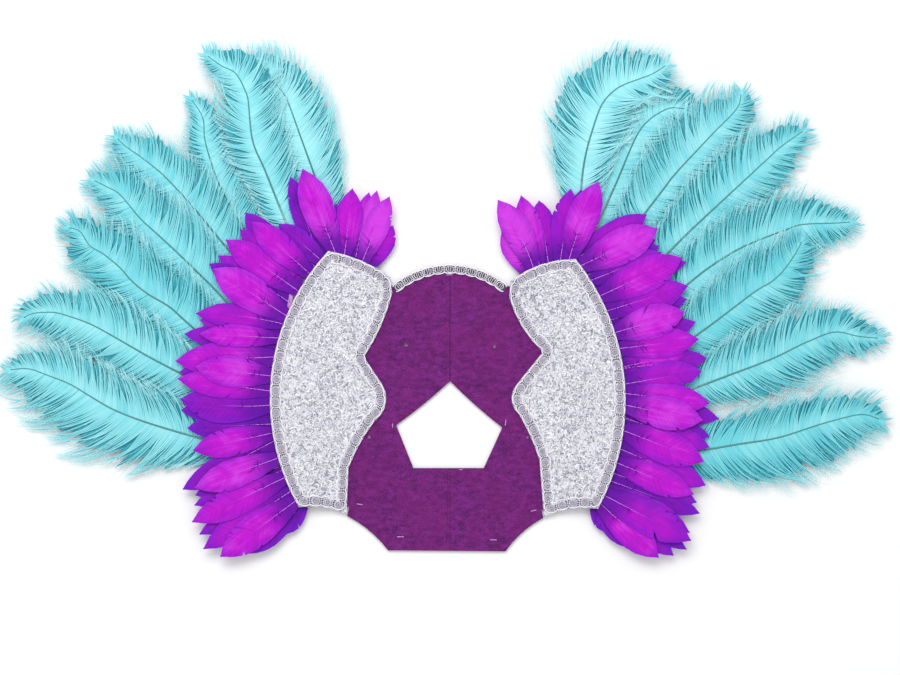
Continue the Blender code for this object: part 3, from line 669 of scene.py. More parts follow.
@dataclass(frozen=True)
class GlitterFinish(Finish):
    """The ground of the glitter cloth: silver grey, with crushed grains that catch the light."""

    light: tuple = srgb(232, 232, 240)
    dark: tuple = srgb(138, 138, 158)
    metallic: float = 0.1
    label = "silver glitter cloth"

    def wire(self, w: Wiring, shader: bpy.types.Node) -> None:
        """Give each small cell of the cloth its own grey, and roughen them unevenly."""
        place = w.place()
        cells = w.node("ShaderNodeTexVoronoi")
        w.put(cells.inputs["Vector"], place)
        cells.inputs["Scale"].default_value = 900.0
        parts = w.node("ShaderNodeSeparateColor")
        w.put(parts.inputs[0], cells.outputs["Color"])
        grain = w.group(grain_group(), Vector=place, Scale=700.0, Contrast=1.4)
        share = w.math("MULTIPLY", w.math("ADD", parts.outputs[0], grain.outputs["Value"]), 0.5)
        w.put(shader.inputs["Base Color"], w.mix(w.span(share, 0.22, 0.72), self.dark, self.light))
        w.put(shader.inputs["Roughness"], w.span(parts.outputs[1], 0.0, 1.0, 0.28, 0.62))
        w.put(shader.inputs["Normal"], w.bump(parts.outputs[2], 0.0004, 0.7))
        shader.inputs["Metallic"].default_value = self.metallic


@dataclass(frozen=True)
class FlakeFinish(Finish):
    """The glitter's flat foil strips: silver, with painted glints, as each flake gets its own brightness from grey to
    white for how it would catch the light.
    """

    # Painted glints: white for flakes that catch the light, grey for those that turn it away
    grey: tuple = srgb(128, 128, 150)
    silver: tuple = srgb(226, 226, 236)
    white: tuple = srgb(252, 252, 255)
    metallic: float = 0.15
    label = "silver foil flakes"

    def wire(self, w: Wiring, shader: bpy.types.Node) -> None:
        """Paint each flake's glint as a brightness by its own share, and grey it towards its ends."""
        reach, _, each, _ = w.tint()
        # Painted glint: each flake's random share picks its brightness
        colour = w.ramp(each, ((0.0, self.grey), (0.38, self.silver), (1.0, self.white)))
        end = w.math("ABSOLUTE", w.math("SUBTRACT", reach, 0.5))
        scratch = w.noise(w.place(), 1800.0, 2.0)
        w.put(shader.inputs["Base Color"], w.mix(w.span(end, 0.25, 0.5, 0.0, 0.25), colour, self.grey))
        w.put(shader.inputs["Roughness"], w.span(scratch, 0.3, 0.7, 0.22, 0.5))
        shader.inputs["Metallic"].default_value = self.metallic


@dataclass(frozen=True)
class CordFinish(Finish):
    """Braid thread: a soft sheen, with the twist of its strands as fine slanted lines."""

    light: tuple = srgb(250, 247, 253)
    shade: tuple = srgb(214, 208, 226)
    roughness: float = 0.5
    label = "white braid cord"

    def wire(self, w: Wiring, shader: bpy.types.Node) -> None:
        """Run the twist's lines slantwise round the thread by its own coordinates."""
        reach, _, each, _ = w.tint()
        turn = w.node("ShaderNodeSeparateXYZ")
        w.put(turn.inputs[0], w.blade())
        twist = w.math("SINE", w.math("ADD", w.math("MULTIPLY", turn.outputs[0], 4200.0), w.math("MULTIPLY", turn.outputs[1], 12.6)))
        mask = w.span(twist, -0.9, 0.4, 0.75, 0.0)
        w.put(shader.inputs["Base Color"], w.mix(w.math("MULTIPLY", mask, w.math("ADD", w.math("MULTIPLY", each, 0.6), 0.4)), self.light, self.shade))
        w.put(shader.inputs["Normal"], w.bump(twist, 0.00012, 0.6))
        shader.inputs["Roughness"].default_value = self.roughness
        shader.inputs["Sheen Weight"].default_value = 0.3


@dataclass(frozen=True)
class BraidPadFinish(CordFinish):
    """The grey-lilac threads that fill the braid's lobes."""

    light: tuple = srgb(222, 218, 232)
    shade: tuple = srgb(166, 160, 184)
    label = "lilac grey braid thread"


@dataclass(frozen=True)
class BraidShadeSheetFinish(Finish):
    """A sheet under the braid whose dark tone paints the shade seen through the holes between the lobes; it is lighter
    under filled lobes.
    """

    # Painted shade: the dark tone seen through the braid's holes
    dark: tuple = srgb(50, 40, 72)
    light: tuple = srgb(178, 174, 196)
    # The material of the sheet of painted shade under the braid
    label = "dark braid ground"

    def wire(self, w: Wiring, shader: bpy.types.Node) -> None:
        """Mix the two tones by a fine grain and by the tint's first share, which is 1 where a lobe is filled."""
        grain = w.group(grain_group(), Vector=w.place(), Scale=1500.0, Contrast=1.0)
        filled = w.tint()[0]
        share = w.math("ADD", w.math("MULTIPLY", grain.outputs["Value"], 0.2), w.math("MULTIPLY", filled, 0.8))
        w.put(shader.inputs["Base Color"], w.mix(share, self.dark, self.light))
        w.put(shader.inputs["Normal"], w.bump(grain.outputs["Height"], 0.0003))
        shader.inputs["Roughness"].default_value = 0.85


@dataclass(frozen=True)
class GooseFinish(Finish):
    """Dyed goose vane: satin magenta in the middle, violet to the edges, root and tip, with fine barbs. The violet at
    the edges and tip is partly painted shade where feathers overlap, and streaks along the blade are painted sheen.

    The tint's shares are: from root to tip, from the quill to the edge, each feather's
    own tone from dark to pale, and each feather's own number.
    """

    dark: tuple = srgb(98, 0, 166)
    mid: tuple = srgb(150, 8, 190)
    bright: tuple = srgb(188, 8, 202)
    pale: tuple = srgb(206, 60, 222)
    # violet: partly dye, partly painted shade at the edges and tip
    violet: tuple = srgb(120, 20, 200)
    root: tuple = srgb(88, 0, 156)
    roughness: float = 0.45
    specular: float = 0.16
    sheen: float = 0.06
    label = "purple goose vane"

    def wire(self, w: Wiring, shader: bpy.types.Node) -> None:
        """Lay edge, tip and root colours and clouds of dye over the feather's own tone, paint sheen as streaks along
        the blade and shade at the edges, and bump it with barbs.
        """
        reach, across, tone, each = w.tint()
        spot = w.node("ShaderNodeSeparateXYZ")
        w.put(spot.inputs[0], w.blade())
        barbs = w.group(barb_group(), Along=spot.outputs[0], Across=spot.outputs[1], Each=each, Lines=900.0, Stretch=22.0)
        wide = w.group(barb_group(), Along=spot.outputs[0], Across=spot.outputs[1], Each=each, Lines=150.0, Stretch=18.0)
        cloud = w.noise(w.place(), 42.0, 2.0, 0.5)
        # Painted sheen: streaks along the blade that lighten and darken the tone
        streak = w.noise(w.stretched(w.blade(), (30.0, 420.0, 1.0)), 1.0, 2.0, 0.55)
        level = w.math("ADD", tone, w.math("MULTIPLY", w.math("SUBTRACT", cloud, 0.5), 0.6))
        level = w.math("ADD", level, w.math("MULTIPLY", w.math("SUBTRACT", streak, 0.5), 0.5))
        level = w.math("ADD", level, w.math("MULTIPLY", w.math("SUBTRACT", wide.outputs["Value"], 0.5), 0.06))
        colour = w.ramp(level, ((0.0, self.dark), (0.42, self.mid), (0.74, self.bright), (1.0, self.pale)))
        # Violet at the edges and tip: partly dye, partly painted shade where feathers overlap, stronger on darker
        # feathers
        edge = w.math("MAXIMUM", w.span(across, 0.45, 1.0, 0.0, 0.62), w.span(reach, 0.78, 1.0, 0.0, 0.7))
        edge = w.math("MULTIPLY", edge, w.math("SUBTRACT", 1.15, w.math("MULTIPLY", tone, 0.55)), clamp=True)
        colour = w.mix(edge, colour, self.violet)
        colour = w.mix(w.span(reach, 0.14, 0.46, 0.9, 0.0), colour, self.root)
        shade = w.span(barbs.outputs["Value"], 0.0, 1.0, 0.86, 1.06)
        grey = w.node("ShaderNodeCombineColor")
        for socket in grey.inputs:
            w.put(socket, shade)
        w.put(shader.inputs["Base Color"], w.mix(1.0, colour, grey.outputs[0], "MULTIPLY"))
        w.put(shader.inputs["Normal"], w.bump(barbs.outputs["Height"], 0.0003, 0.5))
        shader.inputs["Roughness"].default_value = self.roughness
        shader.inputs["Specular IOR Level"].default_value = self.specular
        shader.inputs["Sheen Weight"].default_value = self.sheen
        shader.inputs["Sheen Tint"].default_value = srgb(226, 120, 250)


@dataclass(frozen=True)
class GooseQuillFinish(Finish):
    """The goose feather's quill: dyed pink horn, paler towards the root."""

    pale: tuple = srgb(232, 150, 244)
    dyed: tuple = srgb(190, 60, 214)
    label = "pink goose quill"

    def wire(self, w: Wiring, shader: bpy.types.Node) -> None:
        """Fade from pale to dyed along the quill, with long faint scratches."""
        reach, _, _, _ = w.tint()
        scratch = w.noise(w.stretched(w.place(), (900.0, 900.0, 200.0)), 1.0, 2.0)
        share = w.math("ADD", reach, w.math("MULTIPLY", w.math("SUBTRACT", scratch, 0.5), 0.4))
        w.put(shader.inputs["Base Color"], w.mix(w.span(share, 0.3, 1.0), self.pale, self.dyed))
        shader.inputs["Roughness"].default_value = 0.35


@dataclass(frozen=True)
class DownFinish(Finish):
    """Fluffy down at the feather's root, darker where it is packed."""

    dark: tuple = srgb(84, 0, 150)
    light: tuple = srgb(140, 14, 188)
    specular: float = 0.1
    label = "violet goose down"

    def wire(self, w: Wiring, shader: bpy.types.Node) -> None:
        """Lighten a strand towards its end, and more on some strands than on others."""
        reach, _, each, _ = w.tint()
        share = w.math("MULTIPLY", w.math("ADD", reach, each), 0.5)
        w.put(shader.inputs["Base Color"], w.mix(w.span(share, 0.15, 0.85), self.dark, self.light))
        shader.inputs["Roughness"].default_value = 0.8
        shader.inputs["Specular IOR Level"].default_value = self.specular


@dataclass(frozen=True)
class BarbFinish(Finish):
    """Ostrich barbs: light turquoise, with painted teal shade along their edges, fading to white at their ends.

    The tint's shares are: along the barb, from its edge to its middle, each barb's own
    share, and the plume's own tone from dark to light.
    """

    # Painted shade: the teal along the barbs' edges
    shade_teal: tuple = srgb(38, 160, 176)
    body: tuple = srgb(104, 206, 218)
    light: tuple = srgb(168, 236, 242)
    end: tuple = srgb(200, 243, 246)
    roughness: float = 0.62
    specular: float = 0.25
    label = "turquoise ostrich barbs"

    def wire(self, w: Wiring, shader: bpy.types.Node) -> None:
        """Paint teal shade along the barb's edges, lighter to its middle, and go to the end colour along it."""
        reach, middle, each, tone = w.tint()
        cloud = w.noise(w.place(), 34.0, 2.0, 0.55)
        level = w.math("ADD", w.math("MULTIPLY", each, 0.45), w.math("MULTIPLY", cloud, 0.5))
        level = w.math("ADD", level, w.math("MULTIPLY", tone, 0.45))
        colour = w.mix(w.span(level, 0.25, 1.15), self.body, self.light)
        # Painted shade along each barb's edges, weaker near the quill
        painted_edge_shade = w.math("MULTIPLY", w.span(middle, 0.0, 0.75, 0.85, 0.0), w.span(reach, 0.06, 0.35, 0.2, 1.0))
        colour = w.mix(painted_edge_shade, colour, self.shade_teal)
        w.put(shader.inputs["Base Color"], w.mix(w.span(reach, 0.70, 1.0, 0.0, 0.7), colour, self.end))
        shader.inputs["Roughness"].default_value = self.roughness
        shader.inputs["Specular IOR Level"].default_value = self.specular


@dataclass(frozen=True)
class UndervaneShadeFinish(Finish):
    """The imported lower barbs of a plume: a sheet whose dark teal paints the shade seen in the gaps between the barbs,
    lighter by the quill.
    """

    # Painted shade: the dark teal of the gaps between barbs
    shade_teal: tuple = srgb(14, 122, 140)
    body: tuple = srgb(64, 182, 196)
    light: tuple = srgb(128, 218, 228)
    label = "teal ostrich undervane"

    def wire(self, w: Wiring, shader: bpy.types.Node) -> None:
        """Lines along the barbs mix the painted shade's teal with the body tone, and the quill's side is lightened."""
        reach, across, each, start = w.tint()
        spot = w.node("ShaderNodeSeparateXYZ")
        w.put(spot.inputs[0], w.blade())
        lines = w.group(barb_group(), Along=spot.outputs[0], Across=spot.outputs[1], Each=each, Lines=420.0, Stretch=30.0)
        # Painted shade mixed in along the barb lines
        colour = w.mix(lines.outputs["Value"], self.shade_teal, self.body)
        w.put(shader.inputs["Base Color"], w.mix(w.span(across, 0.0, 0.45, 0.9, 0.0), colour, self.light))
        w.put(shader.inputs["Normal"], w.bump(lines.outputs["Height"], 0.0006))
        shader.inputs["Roughness"].default_value = 0.75


@dataclass(frozen=True)
class RachisFinish(Finish):
    """An ostrich plume's quill: cream green horn at the root, grey green to the tip, with painted shade down the sides
    that turn away from its top.
    """

    cream: tuple = srgb(198, 228, 212)
    grey: tuple = srgb(70, 134, 132)
    # Painted shade on the quill's rounded sides
    dark: tuple = srgb(44, 98, 98)
    label = "grey green quill"

    def wire(self, w: Wiring, shader: bpy.types.Node) -> None:
        """Fade along the quill, and paint shade down each side, darker the further round the thread from its top."""
        reach, _, _, _ = w.tint()
        spot = w.node("ShaderNodeSeparateXYZ")
        w.put(spot.inputs[0], w.blade())
        # Painted shade: how far round the thread a point is from its top
        side = w.math("ABSOLUTE", w.math("SUBTRACT", spot.outputs[1], 0.25))
        speck = w.noise(w.place(), 700.0, 3.0)
        share = w.math("ADD", reach, w.math("MULTIPLY", w.math("SUBTRACT", speck, 0.5), 0.25))
        colour = w.mix(w.span(share, 0.16, 0.42), self.cream, self.grey)
        w.put(shader.inputs["Base Color"], w.mix(w.span(side, 0.10, 0.22, 0.0, 0.85), colour, self.dark))
        shader.inputs["Roughness"].default_value = 0.4


@dataclass(frozen=True)
class ThreadFinish(Finish):
    """Sewing thread of the tack stitches and the feather tape."""

    light: tuple = srgb(226, 176, 232)
    shade: tuple = srgb(176, 116, 190)
    label = "lilac thread"

    def wire(self, w: Wiring, shader: bpy.types.Node) -> None:
        """A fine grain mixes the two tones."""
        grain = w.group(grain_group(), Vector=w.place(), Scale=1800.0, Contrast=1.2)
        w.put(shader.inputs["Base Color"], w.mix(grain.outputs["Value"], self.shade, self.light))
        w.put(shader.inputs["Normal"], w.bump(grain.outputs["Height"], 0.0002))
        shader.inputs["Roughness"].default_value = 0.6


@dataclass(frozen=True)
class TableFinish(Finish):
    """The pale table top: matt white with barely visible clouds."""

    white: tuple = (0.93, 0.93, 0.93, 1.0)
    cool: tuple = (0.915, 0.92, 0.93, 1.0)
    label = "pale table"

    def wire(self, w: Wiring, shader: bpy.types.Node) -> None:
        """A slow noise mixes two whites."""
        cloud = w.noise(w.place(), 3.0, 2.0)
        w.put(shader.inputs["Base Color"], w.mix(cloud, self.white, self.cool))
        shader.inputs["Roughness"].default_value = 0.95
        shader.inputs["Specular IOR Level"].default_value = 0.1


# The wings' plan


@dataclass(frozen=True)
class Corner:
    """A corner of an outline, with the bow to the left and the steps of the arc to the next corner."""

    x: float
    y: float
    bow: float = 0.0
    steps: int = 0


PANEL_SIDES = {
    Wing.LEFT: {
        "top": (Corner(328.4, 251.0, 4.0, 4), Corner(390.0, 277.0)),
        "inner": (
            Corner(390.0, 277.0, 0.5, 1), Corner(392.3, 293.0, 3.0, 4), Corner(364.0, 357.0, 0.0, 2),
            Corner(382.0, 384.0, 7.5, 5), Corner(374.8, 421.0, -2.0, 3), Corner(348.5, 468.0, 0.0, 3),
            Corner(346.5, 514.0),
        ),
        "bottom": (Corner(299.0, 507.0, 3.5, 4), Corner(346.5, 514.0)),
        "outer": (Corner(328.4, 251.0, -42.6, 18), Corner(299.0, 507.0)),
    },
    Wing.RIGHT: {
        "top": (Corner(322.5, 259.0, 6.0, 4), Corner(387.5, 281.0)),
        "inner": (
            Corner(387.5, 281.0, 0.5, 1), Corner(388.8, 297.0, 4.6, 4), Corner(355.0, 352.0, 0.0, 2),
            Corner(381.0, 384.0, 6.5, 5), Corner(379.0, 414.4, -1.5, 3), Corner(358.5, 460.0, 0.0, 3),
            Corner(354.0, 517.0),
        ),
        "bottom": (Corner(300.0, 508.5, 4.0, 4), Corner(354.0, 517.0)),
        "outer": (Corner(322.5, 259.0, -38.0, 18), Corner(300.0, 508.5)),
    },
}
NECK_ARC = (Corner(507.5, 286.0, -21.0, 14), Corner(392.0, 286.0))
NECK_BRAID_ENDS = (393.8, 508.4)


def arc(start: np.ndarray, end: np.ndarray, bow: float, steps: int) -> np.ndarray:
    """Points of a circle's arc from start towards end, without end.

    The circle's radius is (chord squared over 4 plus bow squared) over twice the bow,
    and the start is turned about its centre by equal shares of the arc's angle.
    """
    chord = end - start
    t = np.arange(steps) / steps
    if abs(bow) < 1e-6:
        return start + t[:, None] * chord
    length = np.linalg.norm(chord)
    radius = (length * length / 4.0 + bow * bow) / (2.0 * bow)
    left = np.array((-chord[1], chord[0])) / length
    centre = start + chord / 2.0 + left * (bow - radius)
    half_turn = np.arcsin(np.clip(length / (2.0 * abs(radius)), -1.0, 1.0))
    turn = -np.sign(bow) * 2.0 * half_turn * t
    cos, sin = np.cos(turn), np.sin(turn)
    x, y = start - centre
    return centre + np.stack((cos * x - sin * y, sin * x + cos * y), axis=1)


def outline(corners: tuple) -> np.ndarray:
    """The outline through the corners as points in metres, with its last corner."""
    points = plan([(c.x, c.y) for c in corners])
    stretches = [
        arc(points[i], points[i + 1], corners[i].bow * GRID, corners[i].steps) for i in range(len(corners) - 1)
    ]
    return np.concatenate(stretches + [points[-1:]])


class WingPlan:
    """One wing's panel outline and the heights that follow from it, as the model has them."""

    def __init__(self, wing: Wing) -> None:
        """Work out the panel's ring, which runs counter-clockwise."""
        self.wing = wing
        self.tile_side = -wing.mirror
        sides = {key: outline(rows) for key, rows in PANEL_SIDES[wing].items()}
        ring = np.concatenate(
            (sides["outer"][:-1], sides["bottom"][:-1], sides["inner"][::-1][:-1], sides["top"][::-1][:-1])
        )
        ring = ring * (wing.mirror, 1.0)
        self.ring = ring[::-1] if wing is Wing.RIGHT else ring

    def out(self, points: np.ndarray) -> np.ndarray:
        """How far each point is outside the panel's edge, and less than zero inside it."""
        ring = np.vstack((self.ring, self.ring[:1]))
        distance = distance_to_line(points, ring)
        return np.where(is_inside(points, self.ring), -distance, distance)

    def row_z(self, points: np.ndarray) -> np.ndarray:
        """The underside of the under row of goose feathers: a root height and a smooth rise outwards."""
        return ROW_ROOT_Z + ROW_RISE * smooth_step(self.out(points) / GOOSE_RISE_REACH)

    def feather_z(self, points: np.ndarray) -> np.ndarray:
        """The underside of the top row's lowest feathers: a root height and a smooth rise outwards."""
        return FEATHER_ROOT_Z + FEATHER_RISE * smooth_step(self.out(points) / GOOSE_RISE_REACH)

    def plume_z(self, points: np.ndarray, lean: np.ndarray, lift: float) -> np.ndarray:
        """The middle of a plume's vane: low at the panel, arched, low at the tip, leant and lifted.

        Near the panel it is held just below the goose feathers that lie on it.
        """
        out = self.out(points)
        arch = PLUME_ARCH * smooth_step((out - PLUME_ARCH_STARTS) / PLUME_ARCH_REACH)
        drop = PLUME_TIP_DROP * smooth_step((out - PLUME_DROP_STARTS) / PLUME_DROP_REACH)
        raised = lift * smooth_step((out - PLUME_LIFT_STARTS) / PLUME_LIFT_REACH)
        below = ROW_ROOT_Z + ROW_RISE * smooth_step(out / GOOSE_RISE_REACH) - 0.0012
        below = below + 0.02 * smooth_step((out - 0.085) / 0.03)
        return np.minimum(PLUME_MID_Z + arch - drop + lean + raised, below)


# Felt and panels


@dataclass
class FeltYoke:
    """The felt yoke: the node keeps its mesh, and the felt and its tack stitches are added."""

    node: str = "felt_yoke"
    flat_area: float = 0.0909
    stitch_radius: float = 0.00055
    stitch_rows: int = 9
    # x, y of the middle, length, and turn from the level in degrees, in grid steps
    stitches: tuple = (
        (449.5, 274.8, 6.0, 0.0),
        (392.5, 425.7, 4.0, 90.0),
        (505.6, 422.7, 6.0, 84.0),
        (359.6, 504.4, 6.0, -8.0),
        (533.7, 510.7, 6.0, 14.0),
        (400.4, 537.0, 7.0, 0.0),
        (493.5, 540.0, 6.5, 0.0),
        (461.0, 469.7, 3.0, 0.0),
    )

    def build(self) -> None:
        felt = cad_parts[self.node]
        felt.data.materials[0] = FeltFinish().material()
        low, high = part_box(self.node)
        LOG.info("%s: felt laid on the table", self.node)
        self.sew()

    def sew(self) -> None:
        """The tack stitches: short threads that rise from the felt and go back into it.

        A stitch's line is straight in plan. Its height is a radius below the felt's top
        plus 1.9 radii times the root of the sine of its share.
        """
        rows = np.array(self.stitches)
        share = np.linspace(0.0, 1.0, self.stitch_rows)
        turn = np.radians(rows[:, 3])
        half = (rows[:, 2] * GRID / 2.0)[:, None] * (2.0 * share - 1.0)
        middle = plan(rows[:, :2])
        x = middle[:, :1] + half * np.cos(turn)[:, None]
        y = middle[:, 1:] + half * np.sin(turn)[:, None]
        rise = np.broadcast_to(np.sqrt(np.sin(np.pi * share)), x.shape)
        z = FELT_THICK + self.stitch_radius * (1.9 * rise - 1.0)
        paths = np.stack((x, y, z), axis=-1)
        tint = np.zeros(paths.shape[:2] + (4,))
        tint[..., 0] = share
        radii = np.full(x.shape, self.stitch_radius)
        make_piece("tack_stitches", [tube(paths, radii, tint)], [ThreadFinish().material()])


@dataclass
class GlitterPanel:
    """A glitter panel: the node keeps its mesh, and a scatter of foil flakes lies on it."""

    wing: Wing
    flat_area: float = 0.0262
    flakes: int = 9500
    flake_length: tuple = (0.0030, 0.0060)
    flake_width: tuple = (0.0007, 0.0011)
    edge: float = 0.0090
    tilt: float = 0.12

    def build(self, plan_of: WingPlan) -> None:
        """Args:
            plan_of: the wing's outline and heights.
        """
        name = f"glitter_panel_{self.wing.value}"
        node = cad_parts[name]
        node.data.materials[0] = GlitterFinish().material()
        LOG.info("%s: glitter cloth laid on the felt", name)
        self.scatter(node, plan_of)

    def scatter(self, node: bpy.types.Object, plan_of: WingPlan) -> None:
        """Foil flakes: flat strips with random places, turns and tilts, a hair above the cloth.

        A flake's corners are its middle plus and minus half its length along its turn and
        half its width across it, each end raised by its tilt times its distance.
        """
        rng = np.random.default_rng(11 if self.wing is Wing.LEFT else 12)
        low, high = plan_of.ring.min(axis=0), plan_of.ring.max(axis=0)
        spots = low + rng.random((self.flakes * 3, 2)) * (high - low)
        spots = spots[is_inside(spots, plan_of.ring)]
        spots = spots[plan_of.out(spots) < -self.edge][: self.flakes]
        count = len(spots)
        turn = rng.random(count) * np.pi
        heading = np.stack((np.cos(turn), np.sin(turn)), axis=1)
        across = np.stack((-heading[:, 1], heading[:, 0]), axis=1)
        length = rng.uniform(*self.flake_length, count)
        width = rng.uniform(*self.flake_width, count)
        ends = np.array((-0.5, 0.5))
        corner = spots[:, None, None] + heading[:, None, None] * (length[:, None] * ends)[:, :, None, None]
        corner = corner + across[:, None, None] * (width[:, None] * ends)[:, None, :, None]
        slope = rng.normal(0.0, self.tilt, count)
        roll = rng.normal(0.0, self.tilt, count)
        lift = 0.0003 + rng.random(count) * 0.0006
        height = height_over(node, spots)[:, None, None] + lift[:, None, None]
        height = height + (slope * length)[:, None, None] * ends[None, :, None] * 0.35
        height = height + (roll * width)[:, None, None] * ends[None, None, :]
        points = np.concatenate((corner, height[..., None]), axis=-1)
        tint = np.zeros((count, 2, 2, 4))
        tint[..., 0] = np.array((0.0, 1.0))[None, :, None]
        # A random share for each flake, which sets the brightness of its painted glint
        tint[..., 2] = rng.random(count)[:, None, None]
        surface = Surface(points.reshape(-1, 3), grid_faces(count, 2, 2), tint.reshape(-1, 4), tint[..., :2].reshape(-1, 2))
        make_piece(f"foil_flakes_{self.wing.value}", [surface], [FlakeFinish().material()])


# Braid


@dataclass
class ScallopBraid:
    """A gimp braid: two wavy edge cords, a coil of thread in each lobe, and crossed threads between lobes."""

    name: str
    node: str
    crest: float
    waist: float
    pitch: float
    open_lobes: bool
    cord_radius: float = 0.00070
    coil_radius: float = 0.00044
    steps: int = 12
    coil_steps: int = 12

    def build(self, path: np.ndarray, closed: bool, ground: np.ndarray) -> None:
        """Make the braid along a path.

        Args:
            path: the middle line in plan, dense and even.
            closed: whether the path is a ring.
            ground: the height that it lies on, at each path point.
        """
        self.path, self.closed, self.ground = path, closed, ground
        self.lobes = round(along(path)[-1] / self.pitch)
        # The first surface is the sheet of painted shade under the threads
        surfaces = [self.shade_sheet(), *self.edge_cords(), *self.coils(), self.ties()]
        materials = [CordFinish().material(), BraidPadFinish().material(), BraidShadeSheetFinish().material()]
        make_piece(self.name, surfaces, materials, (self.node,))

    def at(self, lobes: np.ndarray, across: np.ndarray, height: np.ndarray) -> np.ndarray:
        """Points of the braid: so many lobes along the path, so far to its left, so high over its ground."""
        share = lobes / self.lobes
        share = share % 1.0 if self.closed else np.clip(share, 0.0, 1.0)
        line = sample(np.column_stack((self.path, self.ground)), share.ravel()).reshape(share.shape + (3,))
        step = 0.0004
        if self.closed:
            ahead, behind = (share + step) % 1.0, (share - step) % 1.0
        else:
            ahead, behind = np.clip(share + step, 0.0, 1.0), np.clip(share - step, 0.0, 1.0)
        run = sample(self.path, ahead.ravel()) - sample(self.path, behind.ravel())
        heading = unit(run).reshape(share.shape + (2,))
        left = np.stack((-heading[..., 1], heading[..., 0]), axis=-1)
        plane = line[..., :2] + left * across[..., None]
        return np.concatenate((plane, (line[..., 2] + height)[..., None]), axis=-1)

    def half(self, lobes: np.ndarray) -> np.ndarray:
        """The half width: the waist's, and the difference times the sine of the lobe's share to a low power."""
        swell = np.abs(np.sin(np.pi * lobes)) ** 0.65
        return (self.waist + (self.crest - self.waist) * swell) / 2.0

    def shade_sheet(self) -> Surface:
        """A sheet of painted shade under the threads: a strip of five points across, as wide as the edge cords."""
        count = self.lobes * self.steps + (0 if self.closed else 1)
        lobes = np.arange(count) / self.steps
        across = np.array((-1.0, -0.5, 0.0, 0.5, 1.0))
        shares = np.repeat(lobes[:, None], 5, axis=1)
        width = (self.half(lobes) - self.cord_radius)[:, None] * across
        height = 0.00025 + 0.0 * width
        points = self.at(shares, width, height)
        faces = grid_faces(1, count, 5, turned=self.closed)
        filled = 0.0 if self.open_lobes else 1.0
        tint = np.zeros((count, 5, 4))
        tint[..., 0] = filled * smooth_step(np.abs(np.sin(np.pi * lobes)) * 2.2 - 0.7)[:, None]
        return Surface(points.reshape(-1, 3), faces, tint.reshape(-1, 4), tint[..., :2].reshape(-1, 2), 2)

    def edge_cords(self) -> list[Surface]:
        """The two scalloped edge cords, a cord's radius inside the half width."""
        count = self.lobes * self.steps + (0 if self.closed else 1)
        lobes = np.arange(count) / self.steps
        made = []
        for side in (-1.0, 1.0):
            reach = side * (self.half(lobes) - self.cord_radius)
            height = self.cord_radius + 0.0003 * np.abs(np.sin(np.pi * lobes))
            paths = self.at(lobes, reach, height)[None]
            tint = np.zeros((1, count, 4))
            tint[..., 0] = lobes * self.pitch
            tint[..., 2] = 0.3
            made.append(tube(paths, np.full((1, count), self.cord_radius), tint, 6, self.closed))
        return made

    def coils(self) -> list[Surface]:
        """The coils of each lobe: ovals one inside the other, an oval's point at a turn being its two
        half axes times the turn's cosine and sine."""
        rng = np.random.default_rng(len(self.name))
        middle = np.arange(self.lobes) + 0.5
        turn = np.arange(self.coil_steps) * 2.0 * np.pi / self.coil_steps
        rings = ((0.32, 0.70, 0, 0.00085),) if self.open_lobes else (
            (0.34, 0.72, 0, 0.00080), (0.23, 0.48, 1, 0.00095), (0.11, 0.24, 1, 0.00110))
        made = []
        for long, wide, finish, height in rings:
            wobble = rng.normal(0.0, 0.03, (self.lobes, 2))
            lobes = middle[:, None] + wobble[:, :1] + long * np.cos(turn)
            reach = self.crest / 2.0 * (wide * np.sin(turn) + wobble[:, 1:])
            paths = self.at(lobes, reach, np.full(reach.shape, height))
            tint = np.zeros(paths.shape[:2] + (4,))
            tint[..., 0] = turn * 0.0035
            tint[..., 2] = rng.random(self.lobes)[:, None]
            radii = np.full(paths.shape[:2], self.coil_radius)
            made.append(tube(paths, radii, tint, 4, True, finish=finish))
        if self.open_lobes:
            made += [self.bars(middle, shift, 0.62, 0) for shift in (-0.09, 0.09)]
        return made

    def bars(self, lobes: np.ndarray, shift: float, reach: float, finish: int) -> Surface:
        """Straight threads across the braid at the given lobes, bowed up in the middle."""
        share = np.linspace(-1.0, 1.0, 5)
        at = np.repeat(lobes[:, None] + shift, 5, axis=1)
        across = np.broadcast_to(share * reach * self.crest / 2.0, at.shape)
        height = np.broadcast_to(0.0007 + 0.0005 * (1.0 - share**2), at.shape)
        paths = self.at(at, across, height)
        tint = np.zeros(paths.shape[:2] + (4,))
        tint[..., 0] = (share + 1.0) * 0.002
        tint[..., 2] = 0.5
        return tube(paths, np.full(at.shape, self.coil_radius * 0.85), tint, 4, finish=finish)

    def ties(self) -> Surface:
        """The threads between the lobes: two across, and one along that crosses them, so that holes stay open."""
        waists = np.arange(0 if self.closed else 1, self.lobes)
        pieces = [self.bars(waists, 0.0, 0.60, 0)]
        share = np.linspace(-1.0, 1.0, 5)
        for side in (-0.30, 0.0, 0.30):
            at = waists[:, None] + share * 0.20
            across = np.full(at.shape, side * self.waist / 2.0 * 1.6)
            paths = self.at(at, across, np.full(at.shape, 0.0009))
            tint = np.zeros(paths.shape[:2] + (4,))
            tint[..., 0] = (share + 1.0) * 0.001
            tint[..., 2] = 0.5
            pieces.append(tube(paths, np.full(at.shape, self.coil_radius * 0.7), tint, 4))
        return joined(pieces)


